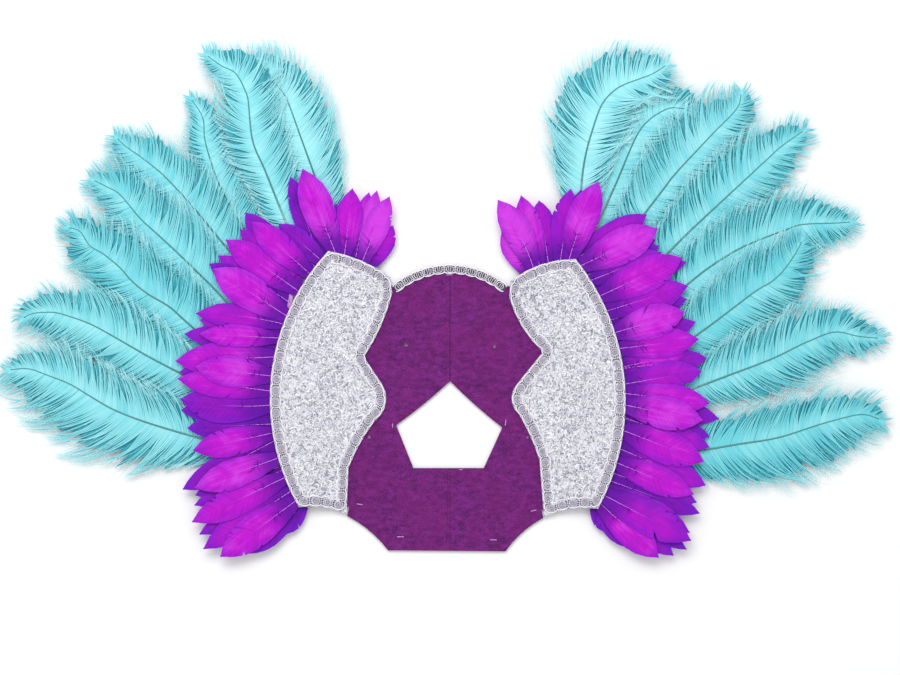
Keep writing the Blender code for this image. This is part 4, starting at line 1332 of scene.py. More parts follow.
@dataclass
class BraidWork:
    """The three braids of the piece and the paths that they follow."""

    crest: float = 0.0126
    waist: float = 0.0082
    pitch: float = 0.0128
    neck_crest: float = 0.0108
    neck_waist: float = 0.0076
    neck_pitch: float = 0.0116
    clearance: float = 0.0001
    corner: float = 0.0070
    neck_overhang: float = 0.0010

    def ring_path(self, ring: np.ndarray) -> np.ndarray:
        """The panel's ring moved in by half a braid, its corners rounded by a running average."""
        inset = self.crest / 2.0 + self.clearance
        ring = np.vstack((ring, ring[:1]))
        count = 600
        share = np.arange(count) / count
        line = sample(ring, share)
        heading = unit(np.roll(line, -1, axis=0) - np.roll(line, 1, axis=0))
        moved = line + np.stack((-heading[:, 1], heading[:, 0]), axis=1) * inset
        moved = moved[distance_to_line(moved, ring) > inset * 0.985]
        moved = sample(np.vstack((moved, moved[:1])), share)
        reach = max(1, round(count * self.corner / along(ring)[-1] / 2.0))
        rounded = sum(np.roll(moved, k, axis=0) for k in range(-reach, reach + 1)) / (2 * reach + 1)
        return np.vstack((rounded, rounded[:1]))

    def neck_path(self) -> np.ndarray:
        """The felt's top arc moved in by half a braid less its overhang, and cut at the panels."""
        line = outline(NECK_ARC)[::-1]
        line = line + left_of(line) * (self.neck_overhang - self.neck_crest / 2.0)
        path = sample(line, np.linspace(0.0, 1.0, 400))
        ends = plan([(x, 0.0) for x in NECK_BRAID_ENDS])[:, 0]
        return path[(path[:, 0] > ends[0]) & (path[:, 0] < ends[1])]

    def build(self, plans: list[WingPlan]) -> None:
        """Make both panel braids and the neck braid.

        Args:
            plans: the wings' outlines and heights.
        """
        for plan_of in plans:
            side = plan_of.wing.value
            path = self.ring_path(plan_of.ring)
            ground = height_over(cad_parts[f"glitter_panel_{side}"], path) + 0.0003
            braid = ScallopBraid(
                f"gimp_braid_{side}", f"braid_{side}", self.crest, self.waist, self.pitch, open_lobes=False
            )
            braid.build(path, True, ground)
        path = self.neck_path()
        neck = ScallopBraid(
            "gimp_braid_neck", "braid_neck", self.neck_crest, self.neck_waist, self.neck_pitch, open_lobes=True
        )
        neck.build(path, False, np.full(len(path), FELT_THICK + 0.0002))


# Goose feathers

GOOSE_PROFILE = (
    (0.0, 0.34), (0.12, 0.50), (0.30, 0.80), (0.50, 0.98), (0.64, 1.0), (0.78, 0.84), (0.90, 0.48), (1.0, 0.02),
)
UNDER_PROFILE = (
    (0.0, 0.66), (0.15, 0.76), (0.35, 0.94), (0.55, 1.0), (0.70, 0.94), (0.84, 0.68), (0.94, 0.34), (1.0, 0.02),
)


@dataclass(frozen=True)
class GooseFeather:
    """A goose feather: root and tip on the grid, width, sideways bend, level over the row, and tone."""

    root_x: float
    root_y: float
    tip_x: float
    tip_y: float
    width: float
    bend: float
    level: int
    tone: Tone


D, V, M, B, G, P = Tone.DARK, Tone.DEEP, Tone.MID, Tone.BRIGHT, Tone.GLOW, Tone.PALE

TOP_FEATHERS = {
    Wing.LEFT: (
        GooseFeather(362.5, 261.0, 389.5, 197.0, 25, 0, 0, P),
        GooseFeather(344.5, 255.0, 352.5, 189.0, 28, 0, 0, B),
        GooseFeather(334.5, 250.5, 303.0, 169.5, 33, 0, 1, G),
        GooseFeather(322.0, 261.0, 279.0, 224.0, 24, 0, 0, V),
        GooseFeather(309.0, 273.0, 252.0, 222.0, 28, 0, 1, B),
        GooseFeather(297.0, 290.0, 226.5, 240.0, 30, 0, 0, B),
        GooseFeather(284.5, 314.5, 213.5, 269.0, 35, 0, 1, G),
        GooseFeather(282.0, 324.5, 196.5, 313.5, 25, -3, 0, M),
        GooseFeather(278.5, 338.0, 199.8, 334.0, 23, 0, 1, B),
        GooseFeather(274.0, 357.0, 176.3, 361.0, 34, 0, 0, B),
        GooseFeather(271.5, 376.0, 196.0, 367.0, 31, 0, 2, G),
        GooseFeather(270.5, 391.0, 178.2, 378.5, 27, 0, 1, B),
        GooseFeather(270.5, 404.0, 181.0, 399.0, 36, 4, 0, V),
        GooseFeather(272.5, 433.0, 193.7, 450.0, 29, 0, 0, B),
        GooseFeather(278.0, 458.0, 195.8, 487.5, 30, 0, 2, G),
        GooseFeather(287.0, 476.5, 192.8, 521.5, 31, 0, 1, B),
        GooseFeather(291.0, 491.0, 204.0, 548.5, 28, 0, 0, M),
        GooseFeather(294.0, 502.0, 221.0, 556.0, 34, 0, 1, B),
    ),
    Wing.RIGHT: (
        GooseFeather(532.0, 267.0, 498.0, 200.5, 29, -3.5, 1, P),
        GooseFeather(539.0, 263.5, 521.0, 196.0, 26, 0, 0, G),
        GooseFeather(560.5, 259.5, 570.5, 189.5, 29, 0, 0, M),
        GooseFeather(570.0, 258.5, 598.0, 182.0, 32, 2, 1, G),
        GooseFeather(582.5, 265.0, 657.0, 229.0, 36, 0, 1, G),
        GooseFeather(592.0, 280.0, 661.0, 252.5, 27, 0, 0, V),
        GooseFeather(600.0, 296.0, 681.5, 258.0, 35, 0, 1, B),
        GooseFeather(607.0, 311.0, 687.0, 286.0, 33, 0, 0, M),
        GooseFeather(615.5, 332.5, 684.0, 312.0, 34, 0, 1, G),
        GooseFeather(619.5, 348.5, 698.0, 339.0, 30, 0, 0, B),
        GooseFeather(624.5, 384.0, 701.0, 371.0, 32, 0, 0, M),
        GooseFeather(625.0, 393.5, 709.0, 403.0, 30, 0, 1, B),
        GooseFeather(624.7, 405.0, 702.0, 420.0, 33, 0, 2, G),
        GooseFeather(622.0, 430.0, 703.0, 461.0, 34, 0, 0, B),
        GooseFeather(615.0, 462.0, 693.0, 494.0, 29, 0, 0, B),
        GooseFeather(605.5, 489.0, 689.0, 532.0, 28, 0, 0, M),
        GooseFeather(603.0, 494.5, 690.0, 540.0, 34, 0, 2, M),
        GooseFeather(600.0, 503.0, 658.0, 557.0, 31, 0, 1, B),
    ),
}

# The under row lies beneath the top feathers; its mostly dark tones partly paint the shade there
UNDER_FEATHERS = {
    Wing.LEFT: (
        GooseFeather(369.0, 262.0, 393.0, 226.0, 26, 0, 0, M),
        GooseFeather(361.0, 258.0, 377.0, 191.0, 20, 0, 1, P),
        GooseFeather(356.0, 256.0, 369.0, 193.0, 22, 0, 0, G),
        GooseFeather(340.0, 253.0, 336.0, 204.0, 20, 0, 2, V),
        GooseFeather(318.0, 254.0, 290.7, 177.4, 24, 0, 1, D),
        GooseFeather(311.0, 262.0, 290.0, 234.0, 20, 0, 2, M),
        GooseFeather(290.0, 270.0, 246.0, 213.0, 28, 0, 0, V),
        GooseFeather(290.0, 284.0, 240.6, 229.4, 23, 0, 1, M),
        GooseFeather(286.0, 300.0, 219.2, 256.0, 26, 0, 0, M),
        GooseFeather(282.0, 306.0, 210.0, 264.0, 27, 0, 1, D),
        GooseFeather(277.0, 333.0, 200.0, 320.0, 22, 0, 2, M),
        GooseFeather(280.0, 342.0, 185.0, 334.0, 26, 0, 1, V),
        GooseFeather(272.0, 366.0, 180.0, 372.0, 26, 0, 2, V),
        GooseFeather(271.0, 413.0, 182.0, 410.0, 28, 0, 1, D),
        GooseFeather(271.0, 424.0, 188.0, 428.0, 28, 0, 0, D),
        GooseFeather(274.0, 441.0, 183.5, 489.0, 28, 0, 2, V),
        GooseFeather(281.0, 466.0, 196.0, 495.0, 28, 0, 0, D),
        GooseFeather(283.0, 470.0, 195.0, 505.0, 23, 0, 1, V),
        GooseFeather(288.0, 486.0, 200.0, 534.0, 24, 0, 0, V),
        GooseFeather(300.0, 503.0, 283.0, 534.0, 24, 0, 1, D),
        GooseFeather(297.0, 503.0, 250.0, 553.0, 28, 0, 2, D),
        GooseFeather(297.0, 282.0, 277.5, 254.0, 16, 0, 3, B),
    ),
    Wing.RIGHT: (
        GooseFeather(530.0, 270.0, 502.0, 232.0, 26, 0, 0, P),
        GooseFeather(548.0, 260.0, 539.0, 201.0, 27, 0, 1, M),
        GooseFeather(567.0, 258.0, 581.0, 190.0, 22, 0, 0, V),
        GooseFeather(577.0, 258.0, 646.0, 215.0, 28, 0, 2, M),
        GooseFeather(586.0, 270.0, 655.0, 240.0, 24, 0, 1, D),
        GooseFeather(590.0, 274.0, 659.0, 246.0, 24, 0, 0, D),
        GooseFeather(599.0, 292.0, 686.0, 262.0, 22, 0, 2, V),
        GooseFeather(610.0, 320.0, 686.0, 299.0, 26, 0, 1, D),
        GooseFeather(622.0, 345.0, 695.0, 322.0, 25, 0, 0, V),
        GooseFeather(626.0, 368.0, 706.0, 358.0, 28, 0, 2, V),
        GooseFeather(623.0, 367.0, 684.0, 353.0, 26, 0, 3, B),
        GooseFeather(626.0, 402.0, 718.0, 418.5, 28, 0, 1, D),
        GooseFeather(625.0, 416.0, 709.0, 436.0, 26, 0, 0, D),
        GooseFeather(625.0, 418.0, 709.0, 447.0, 26, 0, 2, M),
        GooseFeather(618.0, 448.0, 705.0, 485.0, 30, 0, 1, M),
        GooseFeather(610.0, 472.0, 696.0, 502.0, 28, 0, 0, V),
        GooseFeather(608.0, 480.0, 699.0, 513.0, 25, 0, 1, D),
        GooseFeather(603.0, 498.0, 686.0, 549.0, 22, 0, 2, D),
        GooseFeather(601.0, 500.0, 673.0, 555.0, 26, 0, 0, V),
        GooseFeather(598.0, 504.0, 629.0, 547.0, 24, 0, 1, V),
        GooseFeather(597.0, 506.0, 606.0, 532.0, 19, 0, 0, D),
    ),
}


@dataclass
class GooseVane:
    """How a goose feather is drawn: its grid, its curve, its splits, its quill and its down."""

    rows: int = 72
    columns: int = 13
    root_inset: float = 0.008
    profile: tuple = GOOSE_PROFILE
    sweep: float = 0.85
    camber: float = 0.0007
    ragged: float = 0.006
    quill_radius: float = 0.00045
    quill_share: float = 0.62
    down_strands: int = 26
    down_length: tuple = (0.006, 0.012)

    def surfaces(self, feather: GooseFeather, height: object, number: int) -> list[Surface]:
        """The vane, the quill and the down of one feather.

        A vane's row starts on the quill and sweeps towards the tip, so that a row is one
        barb. Its outer end's reach solves reach = half width at (start + sweep times reach
        over the length), by repeating that sum. The height falls from the quill to the
        edges by camber times the square of the share across.

        Args:
            feather: the feather's row of the table.
            height: a function from plan points and distances from the root to heights.
            number: a number of its own, which seeds its chance marks.

        Returns:
            Surfaces with finishes 0 for vane, 1 for quill and 2 for down.
        """
        rng = np.random.default_rng(number)
        root, tip = plan((feather.root_x, feather.root_y)), plan((feather.tip_x, feather.tip_y))
        heading = unit(tip - root)
        start = root - heading * self.root_inset
        length = np.linalg.norm(tip - start)
        side = np.array((-heading[1], heading[0]))
        bend = 4.0 * feather.bend * GRID

        def on_quill(share: np.ndarray) -> np.ndarray:
            """Points on the quill's line: straight, with a parabola's bend to the left."""
            return start + share[..., None] * (tip - start) + side * (bend * share * (1.0 - share))[..., None]

        u = np.linspace(0.0, 1.0, self.rows) ** 0.93
        v = np.linspace(-1.0, 1.0, self.columns)
        half = feather.width * GRID / 2.0
        reach = np.stack([self.edge(u, half, length, rng) for _ in range(2)], axis=1)
        wide = np.where(v[None, :] < 0.0, reach[:, :1], reach[:, 1:]) * v[None, :]
        shares = np.minimum(u[:, None] + self.sweep * np.abs(wide) / length, 1.0 + 0.02 * np.abs(v))
        flat = on_quill(shares) + side * wide[..., None]
        spots = flat.reshape(-1, 2)
        from_root = np.linalg.norm(spots - start, axis=1)
        curl = self.camber * (v[None, :] ** 2) * smooth_step(u * 4.0)[:, None]
        ripple = 0.00010 * np.sin(u * rng.uniform(18.0, 30.0) + rng.random() * 6.0)[:, None] * np.abs(v)[None, :]
        z = height(spots, from_root) + FEATHER_THICK - (curl - ripple).ravel()
        tint = np.empty((self.rows, self.columns, 4))
        tint[..., 0] = shares
        tint[..., 1] = np.abs(v)
        tint[..., 2] = feather.tone.value
        tint[..., 3] = rng.random()
        uv = np.stack((np.repeat((u * length)[:, None], self.columns, axis=1), wide), axis=-1)
        faces = grid_faces(1, self.rows, self.columns)
        vane = Surface(np.column_stack((spots, z)), faces, tint.reshape(-1, 4), uv.reshape(-1, 2), 0)
        return [vane, self.quill(on_quill, height, start), self.down(on_quill, height, start, side, half, rng)]

    def edge(self, u: np.ndarray, half: float, length: float, rng: np.random.Generator) -> np.ndarray:
        """The reach of each barb on one side, with small chance lengths and a few splits.

        A split takes a share off the barbs in a narrow bell round its place.
        """
        reach = np.zeros_like(u)
        for _ in range(24):
            wanted = half * profile_at(self.profile, np.minimum(u + self.sweep * reach / length, 1.0), 21)
            reach = 0.6 * reach + 0.4 * wanted
        reach = reach * (1.0 + rng.normal(0.0, self.ragged, len(u)))
        for _ in range(rng.integers(0, 3)):
            place, depth, spread = rng.uniform(0.25, 0.75), rng.uniform(0.06, 0.34), rng.uniform(0.008, 0.016)
            reach = reach * (1.0 - depth * np.exp(-(((u - place) / spread) ** 2)))
        return np.maximum(reach, 0.00015)

    def quill(self, on_quill: object, height: object, start: np.ndarray) -> Surface:
        """The quill: a thread that thins from its radius to a fifth of it, half sunk in the vane."""
        share = np.linspace(0.0, self.quill_share, 26)
        spots = on_quill(share)
        z = height(spots, np.linalg.norm(spots - start, axis=1)) + FEATHER_THICK + 0.0001
        paths = np.column_stack((spots, z))[None]
        tint = np.zeros((1, len(share), 4))
        tint[..., 0] = share / self.quill_share
        radii = self.quill_radius * (1.0 - 0.8 * share / self.quill_share)[None]
        return tube(paths, radii, tint, 4, finish=1)

    def down(self, on_quill: object, height: object, start: np.ndarray, side: np.ndarray, half: float,
             rng: np.random.Generator) -> Surface:
        """The down: curled threads from the quill's root share outwards, each a turning line of 6 points.

        A thread's heading starts square to the quill and turns by its own curl along it.
        """
        count, rows = self.down_strands, 6
        share = rng.uniform(0.03, 0.36, count)
        hand = np.where(np.arange(count) % 2 == 0, 1.0, -1.0)
        base = on_quill(share)
        forward = np.array((side[1], -side[0]))
        reach = rng.uniform(*self.down_length, count) * (0.5 + share)
        step = reach[:, None] / (rows - 1) * np.ones(rows)
        step[:, 0] = 0.0
        turn = np.radians(rng.uniform(35.0, 85.0, count))[:, None]
        turn = turn + rng.normal(0.0, 0.9, count)[:, None] * np.linspace(0.0, 1.0, rows)
        x = np.cumsum(step * np.cos(turn), axis=1)
        y = np.cumsum(step * np.sin(turn), axis=1) * hand[:, None]
        spots = base[:, None] + x[..., None] * forward + y[..., None] * side
        flat = spots.reshape(-1, 2)
        z = height(flat, np.linalg.norm(flat - start, axis=1)).reshape(count, rows)
        z = z + FEATHER_THICK * 0.7 + rng.uniform(0.0, 0.0009, count)[:, None]
        tint = np.zeros((count, rows, 4))
        tint[..., 0] = np.linspace(0.0, 1.0, rows)
        tint[..., 2] = rng.random(count)[:, None]
        paths = np.concatenate((spots, z[..., None]), axis=-1)
        widths = 0.00040 * (1.0 - 0.7 * np.linspace(0.0, 1.0, rows))
        return ribbons(paths, np.broadcast_to(widths, (count, rows)), tint, finish=2)


@dataclass
class GooseWing:
    """The goose feathers of one wing: the under row on its tape, and the single feathers over it."""

    wing: Wing
    vane: GooseVane = field(default_factory=GooseVane)
    under_step: float = 0.00022
    tape_half: float = 0.003

    def build(self, plan_of: WingPlan) -> None:
        """Make both rows.

        Args:
            plan_of: the wing's outline and heights.
        """
        materials = [GooseFinish().material(), GooseQuillFinish().material(), DownFinish().material()]
        side = self.wing.value
        seed = 100 if self.wing is Wing.LEFT else 300
        for number, feather in enumerate(TOP_FEATHERS[self.wing], start=1):
            def height(spots: np.ndarray, from_root: np.ndarray, level: int = feather.level) -> np.ndarray:
                """The top row's height, with the feather's level opened from its root."""
                return plan_of.feather_z(spots) + level * LAYER_STEP * smooth_step(from_root / LAYER_OPENS_IN)

            surfaces = self.vane.surfaces(feather, height, seed + number)
            make_piece(
                f"purple_feather_{side}_{number:02d}", surfaces, materials,
                (f"goose_feather_{side}_{number:02d}",),
            )
        self.build_row(plan_of, materials, seed + 50)

    def build_row(self, plan_of: WingPlan, materials: list[bpy.types.Material], seed: int) -> None:
        """The under row: its feathers joined into one piece with the tape that they are strung on."""
        low_vane = GooseVane(rows=52, columns=9, profile=UNDER_PROFILE, camber=0.00022, down_strands=40)
        surfaces = []
        for number, feather in enumerate(UNDER_FEATHERS[self.wing]):
            def height(spots: np.ndarray, from_root: np.ndarray, level: int = feather.level) -> np.ndarray:
                """The under row's height, with small steps between its feathers."""
                return plan_of.row_z(spots) - FEATHER_THICK + 0.00035 + level * self.under_step

            surfaces += low_vane.surfaces(feather, height, seed + number)
        surfaces.append(self.tape(plan_of))
        materials = [*materials, ThreadFinish().material()]
        side = self.wing.value
        make_piece(f"purple_under_row_{side}", surfaces, materials, (f"goose_row_{side}",))

    def tape(self, plan_of: WingPlan) -> Surface:
        """The tape: a flat band along the feathers' roots, a little inside the panel's edge."""
        order = sorted(UNDER_FEATHERS[self.wing], key=lambda f: (-f.root_y, f.root_x))
        roots = plan([(f.root_x, f.root_y) for f in order if f.root_y < 500.0])
        line = smooth_route(sample(roots, np.linspace(0.0, 1.0, 9)))
        centre = plan_of.ring.mean(axis=0)
        line = line + unit(centre - line) * 0.008
        z = plan_of.row_z(line) + 0.0004
        path = np.column_stack((line, z))[None]
        tint = np.zeros((1, len(line), 4))
        return tube(path, np.full((1, len(line)), self.tape_half), tint, 6, flat=0.12, finish=3)


# Ostrich plumes

PLUME_PROFILE = (
    (0.0, 0.03), (0.11, 0.03), (0.19, 0.24), (0.27, 0.56), (0.36, 0.82), (0.47, 0.97),
    (0.59, 1.0), (0.71, 0.92), (0.83, 0.72), (0.93, 0.42), (1.0, 0.12),
)


@dataclass(frozen=True)
class Plume:
    """An ostrich plume: its quill's route on the grid, half widths above and below, tilt, lift, and the
    barbs' angles to the quill at their roots and ends, in degrees, above and below, and its tone from 0 to 1."""

    route: tuple
    upper: float
    lower: float
    tilt: float
    lift: float
    tone: float
    upper_angles: tuple = (70.0, 40.0)
    lower_angles: tuple = (72.0, 40.0)


OSTRICH_PLUMES = {
    Wing.LEFT: (
        Plume(((351, 276), (343, 254), (327, 210), (311.9, 167.7), (300.7, 136.8), (288, 101.7), (281, 89.8),
               (272.6, 80.7), (256, 57)), 50, 46, 0.25, 0, 0.95),
        Plume(((315, 296), (307, 275), (287, 225), (278.9, 204.9), (265, 170), (253, 141), (248.8, 103), (246, 92),
               (236, 73.7), (221.4, 66), (205, 54)), 46, 36, 0, 0.0028, 0.6),
        Plume(((305, 316), (295, 296), (255, 245), (222, 190), (206, 144), (203, 118), (190, 97)), 34, 28, 0.35,
              -0.0010, 0.3),
        Plume(((298, 336), (284, 318), (226, 247), (192.2, 205.6), (175.4, 187.3), (160, 171.9), (140.3, 156.5),
               (126.3, 146.7), (115, 136)), 44, 44, 1, 0, 0.35),
        Plume(((291, 371), (275, 354), (229, 305), (210.5, 285), (178.2, 253.3), (158.6, 235), (140.3, 218.2),
               (120.7, 195), (108, 187.3), (91, 179)), 46, 44, 1, 0, 0.35),
        Plume(((287, 411), (270, 396), (190, 325), (169.8, 307), (147.3, 293.3), (131.9, 280.7), (120.7, 268),
               (103.8, 254), (89.8, 245.6), (80, 231), (65, 227)), 48, 48, 1, 0, 0.15),
        Plume(((291, 432), (271, 421), (178, 372), (148.7, 356.4), (112.2, 335.4), (91.2, 324.2), (70.2, 316.5),
               (53.3, 312.3), (32.3, 313.7), (20.5, 320.5)), 44, 50, 1, 0, 0.45),
        Plume(((303, 468), (280, 461), (199, 438), (165.6, 428.2), (137.5, 419), (112.2, 408.6), (92.6, 397.3),
               (70.2, 384), (49, 375.6), (28, 368.6), (6, 370.5)), 46, 64, 1, 0, 0.6),
    ),
    Wing.RIGHT: (
        Plume(((572.5, 271), (574, 259.5), (578, 215), (581, 188.7), (583, 169), (587.4, 146.6), (596.5, 117),
               (602.8, 103), (612.6, 92), (623.8, 85), (639.3, 79.3), (653.3, 73.7), (668, 64)), 56, 46, 0, 0.0032, 0.9),
        Plume(((579, 280), (583, 264), (607, 204), (616.8, 181.7), (630.8, 148), (639.3, 131), (649, 120),
               (660.3, 112.3), (671.5, 108), (685.6, 109.5), (696, 114)), 46, 44, 0.2, -0.0010, 0.55),
        Plume(((578.5, 300), (592.5, 281.5), (660.3, 193), (674.3, 174.7), (702.4, 144.5), (716.4, 129.8),
               (730.5, 115.8), (738.9, 104.5), (741, 91)), 46, 46, 1, 0, 0.45),
        Plume(((593, 328), (609, 311.5), (666.7, 254), (689, 231.7), (710, 212), (741, 183.3), (770.5, 156),
               (781.7, 146), (806, 129)), 48, 46, 1, 0, 0.3),
        Plume(((600.5, 353.5), (618.5, 339), (684.2, 286.8), (705.3, 270), (726.3, 256), (747.3, 244.7),
               (786.6, 229.3), (803.5, 224.4), (838.6, 223), (854, 221.5)), 46, 48, 1, 0, 0.3),
        Plume(((606.5, 401.5), (625, 388), (696.8, 335), (716.5, 320.5), (754.4, 291.7), (769.8, 282.6),
               (781, 272.8), (790.8, 260), (799.3, 246), (802, 238)), 46, 50, 1, 0, 0.1),
        Plume(((603, 419.7), (624.6, 412), (689.8, 389.6), (729, 375), (771.2, 358.8), (806.3, 342), (834.3, 332),
               (858.2, 336.3), (882, 338.5)), 44, 44, 1, 0, 0.3),
        Plume(((592.5, 469.5), (615, 465.5), (708, 449.3), (736, 444.4), (778.2, 437.3), (820.3, 424),
               (855.4, 415), (869.4, 415.6), (883, 421)), 44, 56, 1, 0, 0.12),
    ),
}


@dataclass
class PlumeMaker:
    """How an ostrich plume is drawn: its quill, its packed undervane, whose dark teal paints the shade between the
    barbs, its barbs and its stray hairs.

    room holds the two corners of the plan that its barbs stay inside.
    """

    room: np.ndarray
    barb_spacing: float = 0.00120
    barb_rows: int = 13
    barb_half: float = 0.00085
    hair_rows: int = 14
    hair_skip: int = 6
    hair_half: float = 0.00022
    starts_at: float = 0.12
    end_length: tuple = (0.007, 0.012)
    longest: float = 1.75
    clump: float = 2.6
    quill_radius: float = 0.0018
    undervane_share: float = 0.68

    def build(self, wing: Wing, number: int, plume: Plume, plan_of: WingPlan) -> None:
        """Make one plume.

        Args:
            wing: the wing that it is on.
            number: its number, counted from the neck.
            plume: its row of the table.
            plan_of: the wing's outline and heights.
        """
        self.plume, self.plan_of = plume, plan_of
        self.line = smooth_route(plan(plume.route))
        self.length = along(self.line)[-1]
        self.rng = np.random.default_rng(500 + 20 * number + (7 if wing is Wing.RIGHT else 0))
        upper_hand = 1.0 if wing is Wing.RIGHT else -1.0
        barbs = [self.barbs(hand, hand == upper_hand, False) for hand in (1.0, -1.0)]
        hairs = [self.barbs(hand, hand == upper_hand, True) for hand in (1.0, -1.0)]
        surfaces = [joined(barbs + hairs), self.undervane(upper_hand), self.quill()]
        materials = [BarbFinish().material(), UndervaneShadeFinish().material(), RachisFinish().material()]
        side = wing.value
        make_piece(
            f"turquoise_plume_{side}_{number}", surfaces, materials, (f"ostrich_plume_{side}_{number}",)
        )

    def on_quill(self, share: np.ndarray) -> tuple[np.ndarray, np.ndarray, np.ndarray]:
        """The quill's points at shares of its length, with its heading and its left there."""
        spots = sample(self.line, share)
        heading = unit(sample(self.line, np.minimum(share + 0.01, 1.0)) - sample(self.line, np.maximum(share - 0.01, 0.0)))
        return spots, heading, np.stack((-heading[:, 1], heading[:, 0]), axis=1)

    def height(self, spots: np.ndarray, reach: np.ndarray) -> np.ndarray:
        """The vane's middle height at plan points that lie so far to the left of the quill."""
        lean = PLUME_TILT * self.plume.tilt * self.plan_of.tile_side * reach.ravel()
        return self.plan_of.plume_z(spots.reshape(-1, 2), lean, self.plume.lift).reshape(reach.shape)

    def barbs(self, hand: float, upper: bool, hairs: bool) -> Surface:
        """The barbs of one side, or the finer hairs among them.

        A barb starts on the quill, and its points are the running sum of its steps along
        its angles, so that its reach is its length times the mean sine. Barbs of a lock
        are then drawn towards the lock's middle barb by a share that rises and falls again.

        Args:
            hand: 1 to the left of the quill and -1 to the right.
            upper: whether this is the side that lies over the neighbour.
            hairs: whether to make the thin stray hairs.

        Returns:
            The barbs as ribbons.
        """
        rng = self.rng
        count = int(self.length * (1.0 - self.starts_at) / self.barb_spacing)
        rows = self.hair_rows if hairs else self.barb_rows
        x = (np.arange(count) + rng.uniform(-0.3, 0.3, count)) / (count - 1)
        share = self.starts_at + (1.0 - self.starts_at) * (1.0 - (1.0 - np.clip(x, 0.0, 1.0)) ** 1.12)
        spots, heading, left = self.on_quill(share)
        side = left * hand
        s = np.linspace(0.0, 1.0, rows)
        lock = np.cumsum(rng.random(count) < 1.0 / self.clump)
        tuft = np.cumsum(rng.random(count) < 1.0 / (4.0 * self.clump))
        angle = np.radians(self.angles(share, s, upper, lock, tuft, rng, hairs))
        half = (self.plume.upper if upper else self.plume.lower) * GRID
        reach = half * profile_at(PLUME_PROFILE, share) * rng.uniform(0.84, 1.08, count + 1)[tuft]
        reach = reach * rng.uniform(0.86, 1.04, count) * (rng.uniform(0.9, 1.16, count) if hairs else 1.0)
        length = np.minimum(reach / np.sin(angle).mean(axis=1), reach * self.longest)
        length = np.maximum(length, rng.uniform(*self.end_length, count))
        step = np.broadcast_to((length / (rows - 1))[:, None], (count, rows)).copy()
        step[:, 0] = 0.0
        forward = np.cumsum(step * np.cos(angle), axis=1)
        across = np.cumsum(step * np.sin(angle), axis=1)
        path = spots[:, None] + forward[..., None] * heading[:, None] + across[..., None] * side[:, None]
        order = np.arange(count)
        first = np.searchsorted(lock, lock, side="left")
        last = np.searchsorted(lock, lock, side="right") - 1
        leader = (first + last) // 2
        held = rng.uniform(0.45, 0.95, count + 1)[lock] * (0.55 if hairs else 1.0)
        gather = held[:, None] * smooth_step((s - 0.16) / 0.42) * (1.0 - 0.35 * smooth_step((s - 0.7) / 0.3))
        path = path + (path[leader] - path) * gather[..., None]
        path = self.held_in_room(path, spots)
        z = self.height(path, across * hand)
        level = rng.uniform(-0.0003, 0.0008, count + 1)[lock] + np.where(order % 2 == 0, 0.00015, -0.00010)
        z = z + 0.0004 + level[:, None] * smooth_step(s / 0.4) + (0.0003 * s if hairs else 0.0)
        z = np.maximum(z, 0.0006)
        if hairs:
            width = self.hair_half * (1.0 - 0.7 * s)
        else:
            width = self.barb_half * np.interp(s, (0.0, 0.25, 0.5, 0.8, 1.0), (1.0, 0.86, 0.66, 0.42, 0.14))
        widths = width[None] * rng.uniform(0.8, 1.15, count)[:, None] * (1.0 - 0.4 * smooth_step((share - 0.8) / 0.2))[:, None]
        tint = np.empty((count, rows, 4))
        tint[..., 0] = s
        tint[..., 2] = 0.5 * rng.random(count)[:, None] + 0.5 * rng.random(count + 1)[lock][:, None]
        tint[..., 3] = self.plume.tone
        paths = np.concatenate((path, z[..., None]), axis=-1)
        skip = self.hair_skip if hairs else 0
        return ribbons(paths[:, skip:], widths[:, skip:], tint[:, skip:], 0.0 if hairs else 0.35, 0)

    def held_in_room(self, path: np.ndarray, spots: np.ndarray) -> np.ndarray:
        """The barbs, with each that would leave the room drawn shorter towards its root.

        A barb's share is the least, over its points and both directions, of the room
        from its root over its own reach, and 1 at most.

        Args:
            path: the barbs' points in plan, as (barb, row, 2).
            spots: the barbs' roots on the quill.

        Returns:
            Points of the same shape as path.
        """
        reach = path - spots[:, None]
        room = np.where(reach > 0.0, self.room[1] - spots[:, None], self.room[0] - spots[:, None])
        share = room / np.where(np.abs(reach) > 1e-9, reach, np.copysign(1e-9, room))
        return spots[:, None] + reach * np.clip(share.min(axis=(1, 2)), 0.0, 1.0)[:, None, None]

    def angles(self, share: np.ndarray, s: np.ndarray, upper: bool, lock: np.ndarray, tuft: np.ndarray,
               rng: np.random.Generator, hairs: bool) -> np.ndarray:
        """The angles of the barbs to the quill, in degrees, along each barb.

        The angle goes from a root value to an end value, both smaller at the plume's tip.
        Slow waves along the plume, a turn for each tuft and lock, and a turn and a curl of
        the barb's own are added, growing outwards.

        Args:
            share: where each barb starts on the quill.
            s: shares of a barb's length.
            upper: whether this is the side that lies over the neighbour.
            lock: the number of each barb's lock.
            tuft: the number of each barb's tuft.
            rng: the source of chance.
            hairs: whether these are the thin stray hairs.

        Returns:
            Angles as (barb, row).
        """
        count = len(share)
        tipness = smooth_step((share - 0.80) / 0.20)
        root_angle, end_angle = self.plume.upper_angles if upper else self.plume.lower_angles
        wave = 7.0 * np.sin(share * 17.0 + rng.random() * 6.0) + 5.0 * np.sin(share * 41.0 + rng.random() * 6.0)
        a0 = root_angle + 0.4 * wave - (root_angle - 42.0) * tipness
        a1 = end_angle + wave - (end_angle - 26.0) * tipness
        turn = rng.normal(0.0, 8.0, count + 1)[tuft] + rng.normal(0.0, 4.0, count + 1)[lock]
        own = rng.normal(0.0, 10.0 if hairs else 3.0, count)
        stray = np.where(rng.random(count) < 0.05, rng.normal(0.0, 22.0, count), 0.0)
        angle = a0[:, None] + (a1 - a0)[:, None] * s**0.85
        angle = angle + (turn + own + stray)[:, None] * s**1.6
        curl = rng.normal(0.0, 22.0 if hairs else 10.0, count)
